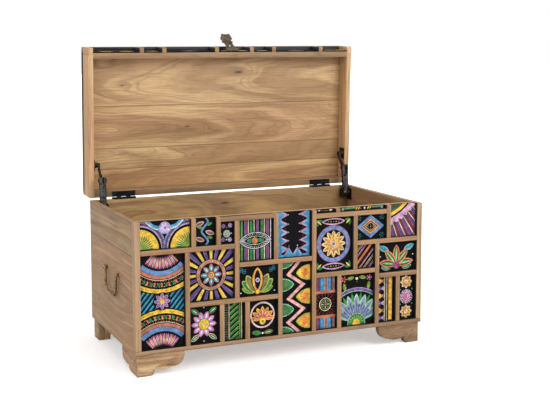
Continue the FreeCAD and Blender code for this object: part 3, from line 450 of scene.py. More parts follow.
@dataclass(frozen=True)
class Streak:
    """A noise pattern that is drawn out along the grain.

    Attributes:
        along: How fast it changes along the grain, per metre.
        across: How fast it changes across the grain, per metre.
        detail: How many finer patterns are laid over it.
        roughness: How strong the finer patterns are.
    """

    along: float
    across: float
    detail: float = 2.0
    roughness: float = 0.55


class Grain:
    """The coordinates that a wood's figure is drawn on, and each plank's own tone."""

    board_spread: ClassVar[float] = 37.0
    name_spread: ClassVar[float] = 0.37
    knot_reach: ClassVar[float] = 0.3

    def __init__(self, bench: Bench, wood: "MangoWood") -> None:
        """Reads the coordinates and gives each plank or stick a tone by chance.

        Args:
            bench: Bench of the wood's material.
            wood: The wood, for its axes and its planks.
        """
        self.bench, self.planks = bench, wood.planks
        split = bench.tree.nodes.new("ShaderNodeSeparateXYZ")
        bench.put(split.inputs[0], bench.spot)
        deep = next(letter for letter in "XYZ" if letter not in (wood.grain, wood.across))
        self.along, self.across, self.depth = (
            split.outputs[letter] for letter in (wood.grain, wood.across, deep))
        self.seams = [plank.start for plank in wood.planks[1:]]
        self.steps = [bench.maths("GREATER_THAN", self.across, seam) for seam in self.seams]
        board = bench.tree.nodes.new("ShaderNodeAttribute")
        board.attribute_name = "board"
        count = bench.plus(bench.times(board.outputs["Fac"], self.board_spread),
                           len(wood.name) * self.name_spread, *self.steps)
        chance = bench.tree.nodes.new("ShaderNodeTexWhiteNoise")
        chance.noise_dimensions = "1D"
        bench.put(chance.inputs["W"], count)
        self.tone = chance.outputs["Value"]

    def by_plank(self, trait: str, less: float = 0.0) -> Value:
        """A trait that changes from plank to plank.

        Args:
            trait: Name of the plank's field.
            less: What is taken off every plank's value.

        Returns:
            The value of the plank that a point lies in.
        """
        values = [getattr(plank, trait) - less for plank in self.planks]
        result: Value = values[0]
        for step, before, after in zip(self.steps, values[:-1], values[1:]):
            result = self.bench.plus(result, self.bench.times(step, after - before))
        return result

    def wander(self, along: float, across: float, by_tone: float) -> Socket:
        """A slow unevenness in the board's plane, different on each plank.

        Args:
            along: How fast it changes along the grain, per metre.
            across: How fast it changes across the grain, per metre.
            by_tone: How far a plank's tone moves it on.

        Returns:
            The grey value.
        """
        times = self.bench.times
        return self.bench.noise(self.bench.combine(
            times(self.along, along), times(self.across, across), times(self.tone, by_tone)))

    def streaks(self, streak: Streak) -> Socket:
        """A pattern drawn out along the grain, moved on by plank.

        Args:
            streak: How the pattern is drawn out.

        Returns:
            The grey value.
        """
        bench = self.bench
        run = bench.plus(bench.times(self.along, streak.along), bench.times(self.tone, 9.0))
        spot = bench.combine(run, bench.times(self.across, streak.across),
                             bench.times(self.depth, streak.across))
        return bench.noise(spot, 1.0, streak.detail, streak.roughness)

    def figure(self, crosswise: Value, along: float, detail: float = 2.0,
               roughness: float = 0.55) -> Socket:
        """A pattern that follows the rings, moved on by plank.

        Args:
            crosswise: What the pattern changes with from ring to ring.
            along: How fast it changes along the grain, per metre.
            detail: How many finer patterns are laid over it.
            roughness: How strong the finer patterns are.

        Returns:
            The grey value.
        """
        bench = self.bench
        spot = bench.combine(crosswise, bench.times(self.along, along),
                             bench.times(self.tone, 19.0))
        return bench.noise(spot, 1.0, detail, roughness)

    def distance(self, knot: Knot) -> Socket:
        """How far a point is from a knot, which is drawn out along the grain.

        Args:
            knot: The knot.

        Returns:
            The socket of the distance.
        """
        run = self.bench.times(self.bench.minus(self.along, knot.along), self.knot_reach)
        return self.bench.length(
            self.bench.combine(run, self.bench.minus(self.across, knot.across), 0.0))


@dataclass(frozen=True)
class MangoWood:
    """Waxed mango wood: growth rings, fibres, pores, joints, knots and painted faces.

    Attributes:
        name: Name of the material.
        grain: Letter of the axis that the grain follows.
        across: Letter of the axis across the planks.
        light: Colour of early wood.
        middle: Colour of late wood.
        dark: Colour of pores and streaks.
        grey: Colour of greyish wood.
        red: Colour of reddish wood.
        gold: Colour of the lightest swaths.
        brown: Colour of the darkest swaths.
        planks: The glued planks, in order across the panel; none for separate sticks.
        knots: Knots in the boards.
        painted: Directions of the faces that are painted black.
        figure: How strongly the rings show.
        stain: How strongly dark blots show.
    """

    name: str
    grain: str
    across: str
    light: Colour = srgb(206, 170, 128)
    middle: Colour = srgb(172, 134, 94)
    dark: Colour = srgb(98, 68, 42)
    grey: Colour = srgb(146, 124, 92)
    red: Colour = srgb(190, 140, 102)
    gold: Colour = srgb(222, 186, 132)
    brown: Colour = srgb(142, 104, 66)
    planks: tuple[Plank, ...] = ()
    knots: tuple[Knot, ...] = ()
    painted: tuple[Vector, ...] = ()
    figure: float = 0.85
    stain: float = 0.0

    fibres: ClassVar[Streak] = Streak(9.0, 330.0, 4.0, 0.6)
    pores: ClassVar[Streak] = Streak(60.0, 1100.0)
    clouds: ClassVar[Streak] = Streak(3.0, 8.0, 3.0)
    blots: ClassVar[Streak] = Streak(17.0, 46.0, 4.0, 0.62)
    halo: ClassVar[Colour] = srgb(126, 88, 56)
    core: ClassVar[Colour] = srgb(62, 38, 24)
    black: ClassVar[Colour] = srgb(20, 19, 20)
    panel_bend: ClassVar[float] = 0.05
    stick_bend: ClassVar[float] = 0.026
    wave: ClassVar[float] = 0.0022

    def rings(self, grain: Grain) -> Value:
        """Distance from the log's heart, bent by the wood's own unevenness.

        Args:
            grain: The wood's coordinates.

        Returns:
            The distance, in metres.
        """
        bench = grain.bench
        if self.planks:
            off = bench.minus(grain.across, grain.by_plank("heart"))
            past = bench.minus(grain.along, grain.by_plank("apex"))
            behind = bench.plus(bench.times(past, grain.by_plank("askew")),
                                grain.by_plank("depth"))
            squares = (bench.maths("POWER", length, 2.0) for length in (off, behind))
            away, bend = bench.maths("SQRT", bench.plus(*squares)), self.panel_bend
        else:
            away = bench.plus(grain.across, grain.depth, bench.times(grain.tone, 3.0))
            bend = self.stick_bend
        away = bench.plus(away, bench.times(grain.wander(3.4, 13.0, 31.0), bend),
                          bench.times(grain.wander(26.0, 70.0, 53.0), self.wave))
        bulges = (bench.span(grain.distance(knot), 0.0, knot.radius * 7.0, knot.radius * 2.4, 0.0)
                  for knot in self.knots)
        return bench.plus(away, *bulges)

    def knotted(self, grain: Grain, colour: Value, streaks: Value) -> Value:
        """Lays a halo and a core over the wood at each knot.

        Args:
            grain: The wood's coordinates.
            colour: The wood's colour so far.
            streaks: The streaks, which make the knots' rims uneven.

        Returns:
            The colour with its knots.
        """
        bench = grain.bench
        for knot in self.knots:
            wobble = bench.times(bench.minus(streaks, 0.5), knot.radius * 2.5)
            near = bench.plus(grain.distance(knot), wobble)
            colour = bench.over(
                colour,
                (bench.span(near, knot.radius * 0.8, knot.radius * 4.5, 0.5, 0.0), self.halo),
                (bench.span(near, knot.radius * 0.4, knot.radius * 1.2, 0.9, 0.0), self.core))
        return colour

    def build(self) -> Material:
        """Makes the material.

        Returns:
            The finished material.
        """
        bench = Bench(self.name)
        grain = Grain(bench, self)
        away = self.rings(grain)
        bands = grain.figure(bench.times(away, 75.0), 0.9)
        lines = grain.figure(bench.times(away, 330.0), 0.9)
        swaths = grain.figure(bench.times(away, 26.0), 1.7, 3.0)
        course = bench.plus(bench.times(grain.across, 34.0), bench.times(away, 30.0))
        streaks = grain.figure(course, 2.6, 5.0, 0.62)
        fibres, clouds = grain.streaks(self.fibres), grain.streaks(self.clouds)
        pores = bench.span(grain.streaks(self.pores), 0.57, 0.7)

        warmth: Value = bench.span(clouds, 0.3, 0.7)
        if self.planks:
            warmth = bench.maths("ADD", bench.times(warmth, 0.5),
                                 grain.by_plank("warmth", 0.25), clamp=True)
        swath = 0.7 * self.figure
        colour = bench.over(
            self.light,
            (bench.span(bands, 0.4, 0.6, 0.0, self.figure), self.middle),
            (bench.span(swaths, 0.32, 0.48, swath, 0.0), self.gold),
            (bench.span(swaths, 0.5, 0.66, 0.0, swath), self.brown),
            (bench.span(clouds, 0.25, 0.75, 0.14, 0.46),
             bench.over(self.grey, (warmth, self.red))),
            (bench.span(lines, 0.5, 0.72, 0.0, 0.36 * self.figure), self.dark),
            (bench.span(streaks, 0.55, 0.76, 0.0, 0.66), self.dark),
            (bench.span(fibres, 0.42, 0.74, 0.0, 0.4), self.dark),
            (bench.times(pores, 0.42), self.dark))
        if self.stain:
            blots = bench.span(grain.streaks(self.blots), 0.5, 0.64, 0.0, self.stain)
            colour = bench.over(colour, (blots, self.dark))
        colour = self.knotted(grain, colour, streaks)
        shade = bench.tree.nodes.new("ShaderNodeHueSaturation")
        bench.put(shade.inputs["Color"], colour)
        bench.put(shade.inputs["Value"], grain.by_plank("shade") if self.planks
                  else bench.span(grain.tone, 0.0, 1.0, 0.93, 1.05))
        colour, seam = shade.outputs["Color"], 0.0
        for start in grain.seams:
            gap = bench.maths("ABSOLUTE", bench.minus(grain.across, start))
            seam = bench.maths("MAXIMUM", seam, bench.span(gap, 0.0004, 0.0022, 1.0, 0.0))
        if grain.seams:
            colour = bench.over(colour, (bench.times(seam, 0.6), self.dark))
        colour = bench.over(colour, *((bench.facing(way), self.black) for way in self.painted))
        bench.finish(Base_Color=colour, Roughness=bench.span(fibres, 0.3, 0.8, 0.5, 0.68))
        bench.bump(bench.minus(bench.minus(fibres, pores), seam), 0.3, 0.0004)
        return bench.material


class Paint(Enum):
    """The colours of the raised paint."""

    YELLOW = srgb(236, 192, 62)
    AMBER = srgb(224, 166, 76)
    ORANGE = srgb(212, 110, 58)
    TERRACOTTA = srgb(184, 112, 84)
    CORAL = srgb(214, 112, 92)
    SALMON = srgb(220, 160, 146)
    PALE_PINK = srgb(226, 196, 196)
    PINK = srgb(204, 158, 192)
    ROSE = srgb(204, 104, 148)
    DUSKY = srgb(162, 86, 108)
    MAGENTA = srgb(150, 56, 108)
    MAROON = srgb(112, 38, 52)
    BROWN = srgb(134, 92, 60)
    PURPLE = srgb(96, 68, 128)
    MAUVE = srgb(122, 76, 118)
    LILAC = srgb(176, 160, 202)
    GREY_LILAC = srgb(138, 138, 176)
    PERIWINKLE = srgb(108, 134, 182)
    SKY = srgb(66, 146, 186)
    PALE_BLUE = srgb(138, 186, 208)
    PETROL = srgb(34, 128, 152)
    TURQUOISE = srgb(40, 158, 166)
    TEAL = srgb(38, 112, 118)
    GREEN = srgb(34, 122, 66)
    LEAF = srgb(88, 136, 62)
    OLIVE = srgb(136, 124, 62)
    LIME = srgb(160, 180, 70)
    PALE_GREEN = srgb(158, 200, 170)
    CREAM = srgb(220, 206, 168)
    WHITE = srgb(236, 234, 232)
    SILVER = srgb(152, 164, 152)
    BLACK = srgb(13, 12, 14)

    @property
    def material_name(self) -> str:
        """Name of this colour's material."""
        return "raised_paint_" + self.name.lower()


(YELLOW, AMBER, ORANGE, TERRACOTTA, CORAL, SALMON, PALE_PINK, PINK, ROSE, DUSKY,
 MAGENTA, MAROON, BROWN, PURPLE, MAUVE, LILAC, GREY_LILAC, PERIWINKLE, SKY, PALE_BLUE,
 PETROL, TURQUOISE, TEAL, GREEN, LEAF, OLIVE, LIME, PALE_GREEN, CREAM, WHITE, SILVER,
 BLACK) = Paint
MATT_GLOSS = 0.08
FINE_BUMP = 0.3 * MILLIMETRE


@dataclass(frozen=True)
class RaisedPaint:
    """Thick craft paint: slightly uneven in colour, satin, with soft brush marks.

    Attributes:
        paint: The paint's colour.
        unevenness: How far the colour strays, as a share of it.
        roughness: Middle roughness.
        gloss: How strongly every colour but black mirrors.
        patches: How fast the colour changes, per metre.
        marks: How fast the brush marks change, per metre.
    """

    paint: Paint
    unevenness: float = 0.2
    roughness: float = 0.48
    gloss: float = 0.3
    patches: float = 95.0
    marks: float = 620.0

    def build(self) -> Material:
        """Makes the material.

        Returns:
            The finished material.
        """
        bench = Bench(self.paint.material_name)
        patches = bench.noise(bench.spot, self.patches, 3.0)
        marks = bench.noise(bench.spot, self.marks)
        darker = tuple(value * (1 - 2 * self.unevenness) for value in self.paint.value)
        lighter = tuple(min(1.0, value * (1 + self.unevenness)) for value in self.paint.value)
        bench.finish(
            Base_Color=bench.over(darker, (bench.span(patches, 0.3, 0.7), lighter)),
            Roughness=bench.span(marks, 0.3, 0.7, self.roughness - 0.08, self.roughness + 0.12),
            Specular_IOR_Level=MATT_GLOSS if self.paint is BLACK else self.gloss)
        bench.bump(bench.plus(patches, marks), 0.25, FINE_BUMP)
        return bench.material


@dataclass(frozen=True)
class BlackGround:
    """The tiles' black ground: matt, with faint brush marks and rubbed specks.

    Attributes:
        name: Name of the material.
        colour: Main colour.
        rubbed: Colour of the specks.
        marks: How fast the brush marks change, per metre.
        specks: How fast the specks change, per metre.
    """

    name: str = "black_tile_ground"
    colour: Colour = srgb(13, 12, 14)
    rubbed: Colour = srgb(42, 36, 34)
    marks: float = 140.0
    specks: float = 900.0

    def build(self) -> Material:
        """Makes the material.

        Returns:
            The finished material.
        """
        bench = Bench(self.name)
        marks = bench.noise(bench.spot, self.marks, 4.0, 0.7)
        specks = bench.span(bench.noise(bench.spot, self.specks), 0.7, 0.8, 0.0, 0.5)
        bench.finish(Base_Color=bench.over(self.colour, (specks, self.rubbed)),
                     Roughness=bench.span(marks, 0.3, 0.7, 0.6, 0.8),
                     Specular_IOR_Level=MATT_GLOSS)
        bench.bump(marks, 0.2, FINE_BUMP)
        return bench.material


@dataclass(frozen=True)
class WornMetal:
    """A metal whose colour and polish change from place to place.

    Attributes:
        name: Name of the material.
        colour: Main colour.
        worn: Colour of the patches worn or tarnished.
        metallic: How metallic it is.
        roughness: Middle roughness.
        patch: Size of the patches, in metres.
        gloss: How strongly the surface mirrors where it isn't bare metal.
    """

    name: str
    colour: Colour
    worn: Colour
    metallic: float = 1.0
    roughness: float = 0.4
    patch: float = 0.02
    gloss: float = 0.5

    def build(self) -> Material:
        """Makes the material.

        Returns:
            The finished material.
        """
        bench = Bench(self.name)
        patches = bench.noise(bench.spot, 1 / self.patch, 5.0, 0.6)
        grain = bench.noise(bench.spot, 40 / self.patch)
        bench.finish(
            Base_Color=bench.over(self.colour, (bench.span(patches, 0.42, 0.68), self.worn)),
            Metallic=self.metallic, Specular_IOR_Level=self.gloss,
            Roughness=bench.span(patches, 0.3, 0.7, self.roughness - 0.1,
                                 self.roughness + 0.18))
        bench.bump(bench.plus(patches, grain), 0.18, FINE_BUMP)
        return bench.material


PAINT_MATERIALS: dict[Paint, Material] = {}


# Panels and the raised paint on them

@dataclass(frozen=True)
class Panel:
    """A tile's painted face: its lower left corner, its own axes and its size."""

    corner: Vector
    right: Vector
    up: Vector
    out: Vector
    width: float
    height: float

    @property
    def unit(self) -> float:
        """The shorter side, by which sizes of ornament are given."""
        return min(self.width, self.height)

    @property
    def matrix(self) -> Matrix:
        """The turn and move from the panel's own axes to the frame's."""
        turn = Matrix((self.right, self.up, self.out)).transposed().to_4x4()
        return Matrix.Translation(self.corner) @ turn


def panels_of(nodes: Sequence[str], right: Vector, up: Vector, out: Vector) -> list[Panel]:
    """The painted faces of tile nodes.

    Args:
        nodes: Names of the nodes.
        right: The faces' level axis.
        up: The faces' rising axis.
        out: The way the faces look.

    Returns:
        One panel for each tile, from left to right and from the bottom up.
    """
    found = []
    for node in nodes:
        shape = joined_mesh(node)
        for members in islands(shape):
            spans = [[axis.dot(point.co) for point in members] for axis in (right, up, out)]
            lows = [min(values) for values in spans]
            highs = [max(values) for values in spans]
            corner = right * lows[0] + up * lows[1] + out * highs[2]
            found.append(Panel(corner, right, up, out, highs[0] - lows[0], highs[1] - lows[1]))
        shape.free()
    return sorted(found, key=lambda p: (round(p.corner.dot(right), 3), p.corner.dot(up)))


class Relief:
    """Raised paint on one panel, built up stroke by stroke."""

    margin: ClassVar[float] = 0.6 * MILLIMETRE
    first_height: ClassVar[float] = 0.4 * MILLIMETRE
    step_height: ClassVar[float] = 0.05 * MILLIMETRE
    dome: ClassVar[float] = 0.45
    slot: ClassVar[str] = "painted_tile"
    shape: Mesh

    def __init__(self, panel: Panel) -> None:
        """Starts with a bare panel.

        Args:
            panel: The panel to paint.
        """
        self.panel = panel
        self.whole = bmesh.new()
        self.paints: list[Paint] = []
        self.strokes = 0

    @property
    def height(self) -> float:
        """How thick the next stroke is."""
        return self.first_height + self.strokes * self.step_height

    def lay(self, stroke: "Stroke") -> None:
        """Draws one stroke by itself and adds it to the others.

        Args:
            stroke: The stroke to draw.
        """
        self.shape = bmesh.new()
        stroke.draw(self)
        if self.shape.faces:
            sheet = bpy.data.meshes.new("stroke")
            self.shape.to_mesh(sheet)
            self.whole.from_mesh(sheet)
            bpy.data.meshes.remove(sheet)
        self.shape.free()
        self.strokes += 1

    def spot(self, at: Point) -> Vector:
        """A place given as shares of the panel's width and height."""
        return Vector((at[0] * self.panel.width, at[1] * self.panel.height, 0.0))

    def index(self, paint: Paint) -> int:
        """The material index of a colour.

        Args:
            paint: The colour.

        Returns:
            Its place among the colours laid so far.
        """
        if paint not in self.paints:
            self.paints.append(paint)
        return self.paints.index(paint)

    def trimmed(self, points: list[Vertex]) -> list[Face]:
        """Cuts flat faces back to the panel.

        Args:
            points: The faces' points.

        Returns:
            What is left of the faces.
        """
        faces = list({face for point in points for face in point.link_faces})
        edges = ((Vector((self.margin, 0, 0)), Vector((-1, 0, 0))),
                 (Vector((self.panel.width - self.margin, 0, 0)), Vector((1, 0, 0))),
                 (Vector((0, self.margin, 0)), Vector((0, -1, 0))),
                 (Vector((0, self.panel.height - self.margin, 0)), Vector((0, 1, 0))))
        for spot, outward in edges:
            if not faces:
                break
            if all((point.co - spot).dot(outward) < 0 for f in faces for point in f.verts):
                continue
            parts = {item for f in faces for item in (f, *f.verts, *f.edges)}
            kept = bmesh.ops.bisect_plane(self.shape, geom=list(parts), dist=1e-7,
                                          plane_co=spot, plane_no=outward, clear_outer=True)
            faces = [item for item in kept["geom"] if isinstance(item, Face)
                     and item.is_valid]
        return faces

    def lift(self, points: list[Vertex], paint: Paint) -> None:
        """Gives flat faces the thickness of one more stroke of paint.

        Args:
            points: The faces' points.
            paint: The stroke's colour.
        """
        faces = self.trimmed(points)
        if not faces:
            return
        for face in faces:
            face.material_index = self.index(paint)
        grown = bmesh.ops.extrude_face_region(self.shape, geom=faces, use_keep_orig=True)
        tops = [item for item in grown["geom"] if isinstance(item, Vertex)]
        bmesh.ops.translate(self.shape, verts=tops, vec=(0, 0, self.height))

    def circle(self, sides: int) -> list[Vertex]:
        """A filled unit circle."""
        made = bmesh.ops.create_circle(self.shape, cap_ends=True, segments=sides, radius=1.0)
        return made["verts"]

    def set_down(self, points: list[Vertex], at: Point, turn: float = 0.0,
                 inset: float = 0.0) -> None:
        """Moves points to a spot.

        Args:
            points: The points to move.
            at: The spot.
            turn: How far they are turned about it, in degrees.
            inset: How far they are moved off it, before they are turned.
        """
        matrix = (Matrix.Translation(self.spot(at)) @ Matrix.Rotation(math.radians(turn), 4, "Z")
                  @ Matrix.Translation((inset, 0, 0)))
        bmesh.ops.transform(self.shape, matrix=matrix, verts=points)

    def bead(self, centre: Vector, radius: float, paint: Paint) -> None:
        """One domed drop of paint, laid only where it keeps inside the panel's edge.

        Args:
            centre: Middle of the drop.
            radius: Its radius, in metres.
            paint: Its colour.
        """
        inside = (radius < centre.x < self.panel.width - radius
                  and radius < centre.y < self.panel.height - radius)
        if not inside:
            return
        made = bmesh.ops.create_uvsphere(self.shape, u_segments=8, v_segments=4, radius=radius)
        matrix = (Matrix.Translation((centre.x, centre.y, self.height))
                  @ Matrix.Diagonal((1, 1, self.dome, 1)))
        bmesh.ops.transform(self.shape, matrix=matrix, verts=made["verts"])
        for face in {face for point in made["verts"] for face in point.link_faces}:
            face.material_index = self.index(paint)
            face.smooth = True

    def finish(self, name: str, body: str) -> None:
        """Puts the paint on its panel.

        Args:
            name: Name of the painted piece.
            body: The moving body that it rides on.
        """
        bmesh.ops.recalc_face_normals(self.whole, faces=self.whole.faces)
        bmesh.ops.transform(self.whole, matrix=self.panel.matrix, verts=self.whole.verts)
        piece = place(self.whole, name, [PAINT_MATERIALS[paint] for paint in self.paints])
        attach(piece, body)


MIDDLE: Point = (0.5, 0.5)
WHOLE = 360.0


def fan(start: float, sweep: float, count: int) -> list[float]:
    """Angles spread evenly over a fan, from its first edge to its last.

    Args:
        start: Angle of the first edge, in degrees.
        sweep: How wide the fan opens; a whole round has no last edge.
        count: Number of angles.

    Returns:
        The angles, in degrees.
    """
    steps = count if abs(sweep) >= WHOLE else max(1, count - 1)
    return [start + sweep * number / steps for number in range(count)]


@dataclass(frozen=True)
class Disc:
    """A filled round. Radius is a share of the panel's shorter side, as in every stroke."""

    radius: float
    paint: Paint
    sides: int = 28
    at: Point = MIDDLE

    def draw(self, relief: Relief) -> None:
        """Lays the stroke.

        Args:
            relief: The paint it joins.
        """
        points = relief.circle(self.sides)
        reach = self.radius * relief.panel.unit
        bmesh.ops.scale(relief.shape, verts=points, vec=(reach, reach, 1.0))
        relief.set_down(points, self.at)
        relief.lift(points, self.paint)


@dataclass(frozen=True)
class Arc:
    """A round band, whole or part, from start through sweep degrees."""

    radius: float
    width: float
    paint: Paint
    start: float = 0.0
    sweep: float = WHOLE
    at: Point = MIDDLE

    def draw(self, relief: Relief) -> None:
        """Lays the stroke.

        Args:
            relief: The paint it joins.
        """
        shape, unit = relief.shape, relief.panel.unit
        inner = shape.verts.new(((self.radius - self.width / 2) * unit, 0, 0))
        outer = shape.verts.new(((self.radius + self.width / 2) * unit, 0, 0))
        edge = shape.edges.new((inner, outer))
        spread = Matrix.Rotation(math.radians(self.start), 4, "Z")
        bmesh.ops.transform(shape, matrix=spread, verts=[inner, outer])
        bmesh.ops.spin(shape, geom=[inner, outer, edge], axis=(0, 0, 1), cent=(0, 0, 0),
                       angle=math.radians(self.sweep), steps=max(3, round(abs(self.sweep) / 11)),
                       use_merge=abs(self.sweep) >= WHOLE)
        points = list(linked(inner))
        relief.set_down(points, self.at)
        relief.lift(points, self.paint)


@dataclass(frozen=True)
class Bar:
    """A straight stripe between two spots."""

    start: Point
    end: Point
    width: float
    paint: Paint

    def draw(self, relief: Relief) -> None:
        """Lays the stroke.

        Args:
            relief: The paint it joins.
        """
        first, last = relief.spot(self.start), relief.spot(self.end)
        run = last - first
        made = bmesh.ops.create_grid(relief.shape, x_segments=1, y_segments=1, size=0.5)
        matrix = (Matrix.Translation((first + last) / 2)
                  @ Matrix.Rotation(math.atan2(run.y, run.x), 4, "Z")
                  @ Matrix.Diagonal((run.length, self.width * relief.panel.unit, 1, 1)))
        bmesh.ops.transform(relief.shape, matrix=matrix, verts=made["verts"])
        relief.lift(made["verts"], self.paint)


class Tip(Enum):
    """How a petal ends."""

    BOTH_POINTED = "both pointed"
    ROUND_END = "round end"


@dataclass(frozen=True)
class Petal:
    """A petal, leaf or pointed oval that starts at a spot, or is centred on it."""

    length: float
    width: float
    turn: float
    paint: Paint
    tip: Tip = Tip.BOTH_POINTED
    inset: float = 0.0
    centred: bool = False
    at: Point = MIDDLE

    def draw(self, relief: Relief) -> None:
        """Lays the stroke.

        Args:
            relief: The paint it joins.
        """
        unit = relief.panel.unit
        length, width = self.length * unit, self.width * unit
        points = relief.circle(20)
        for point in points:
            share, side = (1 + point.co.x) / 2, point.co.y
            if self.tip is Tip.ROUND_END:
                side *= share ** 0.7
            else:
                side *= abs(point.co.y) ** 0.5
            point.co = Vector((share * length, side * width / 2, 0))
        relief.set_down(points, self.at, self.turn,
                        -length / 2 if self.centred else self.inset * unit)
        relief.lift(points, self.paint)


@dataclass(frozen=True)
class Rays:
    """Petals or bars in a fan about a spot, in colours that take turns."""

    inner: float
    outer: float
    width: float
    count: int
    paints: tuple[Paint, ...]
    start: float = 0.0
    sweep: float = WHOLE
    tip: Tip = Tip.ROUND_END
    at: Point = MIDDLE

    def draw(self, relief: Relief) -> None:
        """Lays the strokes.

        Args:
            relief: The paint it joins.
        """
        for turn, paint in zip(fan(self.start, self.sweep, self.count), cycle(self.paints)):
            Petal(self.outer - self.inner, self.width, turn, paint, self.tip, self.inner,
                  at=self.at).draw(relief)


@dataclass(frozen=True)
class Beads:
    """Domed drops in a line between two spots."""

    start: Point
    end: Point
    count: int
    radius: float
    paints: tuple[Paint, ...]

    def draw(self, relief: Relief) -> None:
        """Lays the strokes.

        Args:
            relief: The paint it joins.
        """
        first, last = relief.spot(self.start), relief.spot(self.end)
        for number, paint in zip(range(self.count), cycle(self.paints)):
            relief.bead(first.lerp(last, number / max(1, self.count - 1)),
                        self.radius * relief.panel.unit, paint)


@dataclass(frozen=True)
class BeadArc:
    """Domed drops in a ring or part of one."""

    reach: float
    count: int
    radius: float
    paints: tuple[Paint, ...]
    start: float = 0.0
    sweep: float = WHOLE
    at: Point = MIDDLE

    def draw(self, relief: Relief) -> None:
        """Lays the strokes.

        Args:
            relief: The paint it joins.
        """
        unit = relief.panel.unit
        for turn, paint in zip(fan(self.start, self.sweep, self.count), cycle(self.paints)):
            angle = math.radians(turn)
            offset = Vector((math.cos(angle), math.sin(angle), 0)) * self.reach * unit
            relief.bead(relief.spot(self.at) + offset, self.radius * unit, paint)


@dataclass(frozen=True)
class Line:
    """A stripe through several spots, drawn as a smooth curve or with mitred bends."""

    spots: tuple[Point, ...]
    width: float
    paint: Paint
    smooth: bool = True
    closed: bool = False

    def course(self, relief: Relief) -> list[Vector]:
        """The points that the stripe's middle runs through.

        Args:
            relief: The paint under way.

        Returns:
            The points, in order.
        """
        spots = [relief.spot(at) for at in self.spots]
        if not self.smooth:
            return spots
        end = len(spots) - 1
        course = []
        for number in range(end):
            before, first, last, after = (spots[min(max(number + step, 0), end)]
                                          for step in (-1, 0, 1, 2))
            for part in range(5):
                share = part / 5
                course.append(0.5 * (2 * first + (last - before) * share
                                     + (2 * before - 5 * first + 4 * last - after) * share ** 2
                                     + (3 * first - before - 3 * last + after) * share ** 3))
        return course + spots[-1:]

    def sections(self, relief: Relief) -> list[tuple[Vector, Vector]]:
        """Both sides of the stripe at each point of its course.

        Args:
            relief: The paint under way.

        Returns:
            Pairs of spots, right and left of the course.
        """
        course = self.course(relief)
        half = self.width * relief.panel.unit / 2
        count = len(course)
        sections = []
        for number, middle in enumerate(course):
            before = course[number - 1] if number or self.closed else middle
            after = course[(number + 1) % count] if number < count - 1 or self.closed else middle
            runs = [run.normalized() for run in (middle - before, after - middle)
                    if run.length > 1e-9]
            heading = sum(runs, Vector()).normalized()
            lean = max(0.35, heading.dot(runs[0]))
            aside = Vector((-heading.y, heading.x, 0)) * half / lean
            sections.append((middle - aside, middle + aside))
        return sections + sections[:1] if self.closed else sections

    def draw(self, relief: Relief) -> None:
        """Lays the stroke.

        Args:
            relief: The paint it joins.
        """
        sections = self.sections(relief)
        ends = [relief.shape.verts.new(spot) for spot in sections[0]]
        edge = relief.shape.edges.new(ends)
        points = list(ends)
        for section in sections[1:]:
            grown = bmesh.ops.extrude_edge_only(relief.shape, edges=[edge])
            fresh = [item for item in grown["geom"] if isinstance(item, Vertex)]
            edge = next(item for item in grown["geom"] if isinstance(item, bmesh.types.BMEdge))
            ends = [next(point for point in fresh if point.co == end.co) for end in ends]
            for point, spot in zip(ends, section):
                point.co = spot
            points += ends
        if self.closed:
            bmesh.ops.remove_doubles(relief.shape, verts=points, dist=1e-7)
            points = [point for point in points if point.is_valid]
        relief.lift(points, self.paint)


@dataclass(frozen=True)
class Lashes:
    """Short bars all round a pointed oval, from an inner share of its size outwards."""

    length: float
    width: float
    inner: float
    count: int
    breadth: float
    paints: tuple[Paint, ...]
    at: Point = MIDDLE

    def draw(self, relief: Relief) -> None:
        """Lays the strokes.

        Args:
            relief: The paint it joins.
        """
        panel = relief.panel
        for number, paint in zip(range(self.count), cycle(self.paints)):
            angle = math.tau * (number + 0.5) / self.count
            along = math.cos(angle) * self.length / 2 * panel.unit / panel.width
            rise = math.sin(angle) * abs(math.sin(angle)) ** 0.5
            rise *= self.width / 2 * panel.unit / panel.height
            start = (self.at[0] + along * self.inner, self.at[1] + rise * self.inner)
            Bar(start, (self.at[0] + along, self.at[1] + rise), self.breadth, paint).draw(relief)


@dataclass(frozen=True)
class Tooth:
    """A triangle whose base lies between two spots."""

    start: Point
    end: Point
    height: float
    paint: Paint

    def draw(self, relief: Relief) -> None:
        """Lays the stroke.

        Args:
            relief: The paint it joins.
        """
        first, last = relief.spot(self.start), relief.spot(self.end)
        run = last - first
        tall = self.height * relief.panel.unit
        points = relief.circle(3)
        for point, spot in zip(points, ((0, 0, 0), (run.length, 0, 0), (run.length / 2, tall, 0))):
            point.co = spot
        matrix = (Matrix.Translation(first)
                  @ Matrix.Rotation(math.atan2(run.y, run.x), 4, "Z"))
        bmesh.ops.transform(relief.shape, matrix=matrix, verts=points)
        relief.lift(points, self.paint)


@dataclass(frozen=True)
class UprightStripe:
    """An upright stripe given by its two sides, as shares of the panel's width."""

    left: float
    right: float
    paint: Paint
    bottom: float = 0.0
    top: float = 1.0

    def draw(self, relief: Relief) -> None:
        """Lays the stroke.

        Args:
            relief: The paint it joins.
        """
        middle = (self.left + self.right) / 2
        width = (self.right - self.left) * relief.panel.width / relief.panel.unit
        Bar((middle, self.bottom), (middle, self.top), width, self.paint).draw(relief)


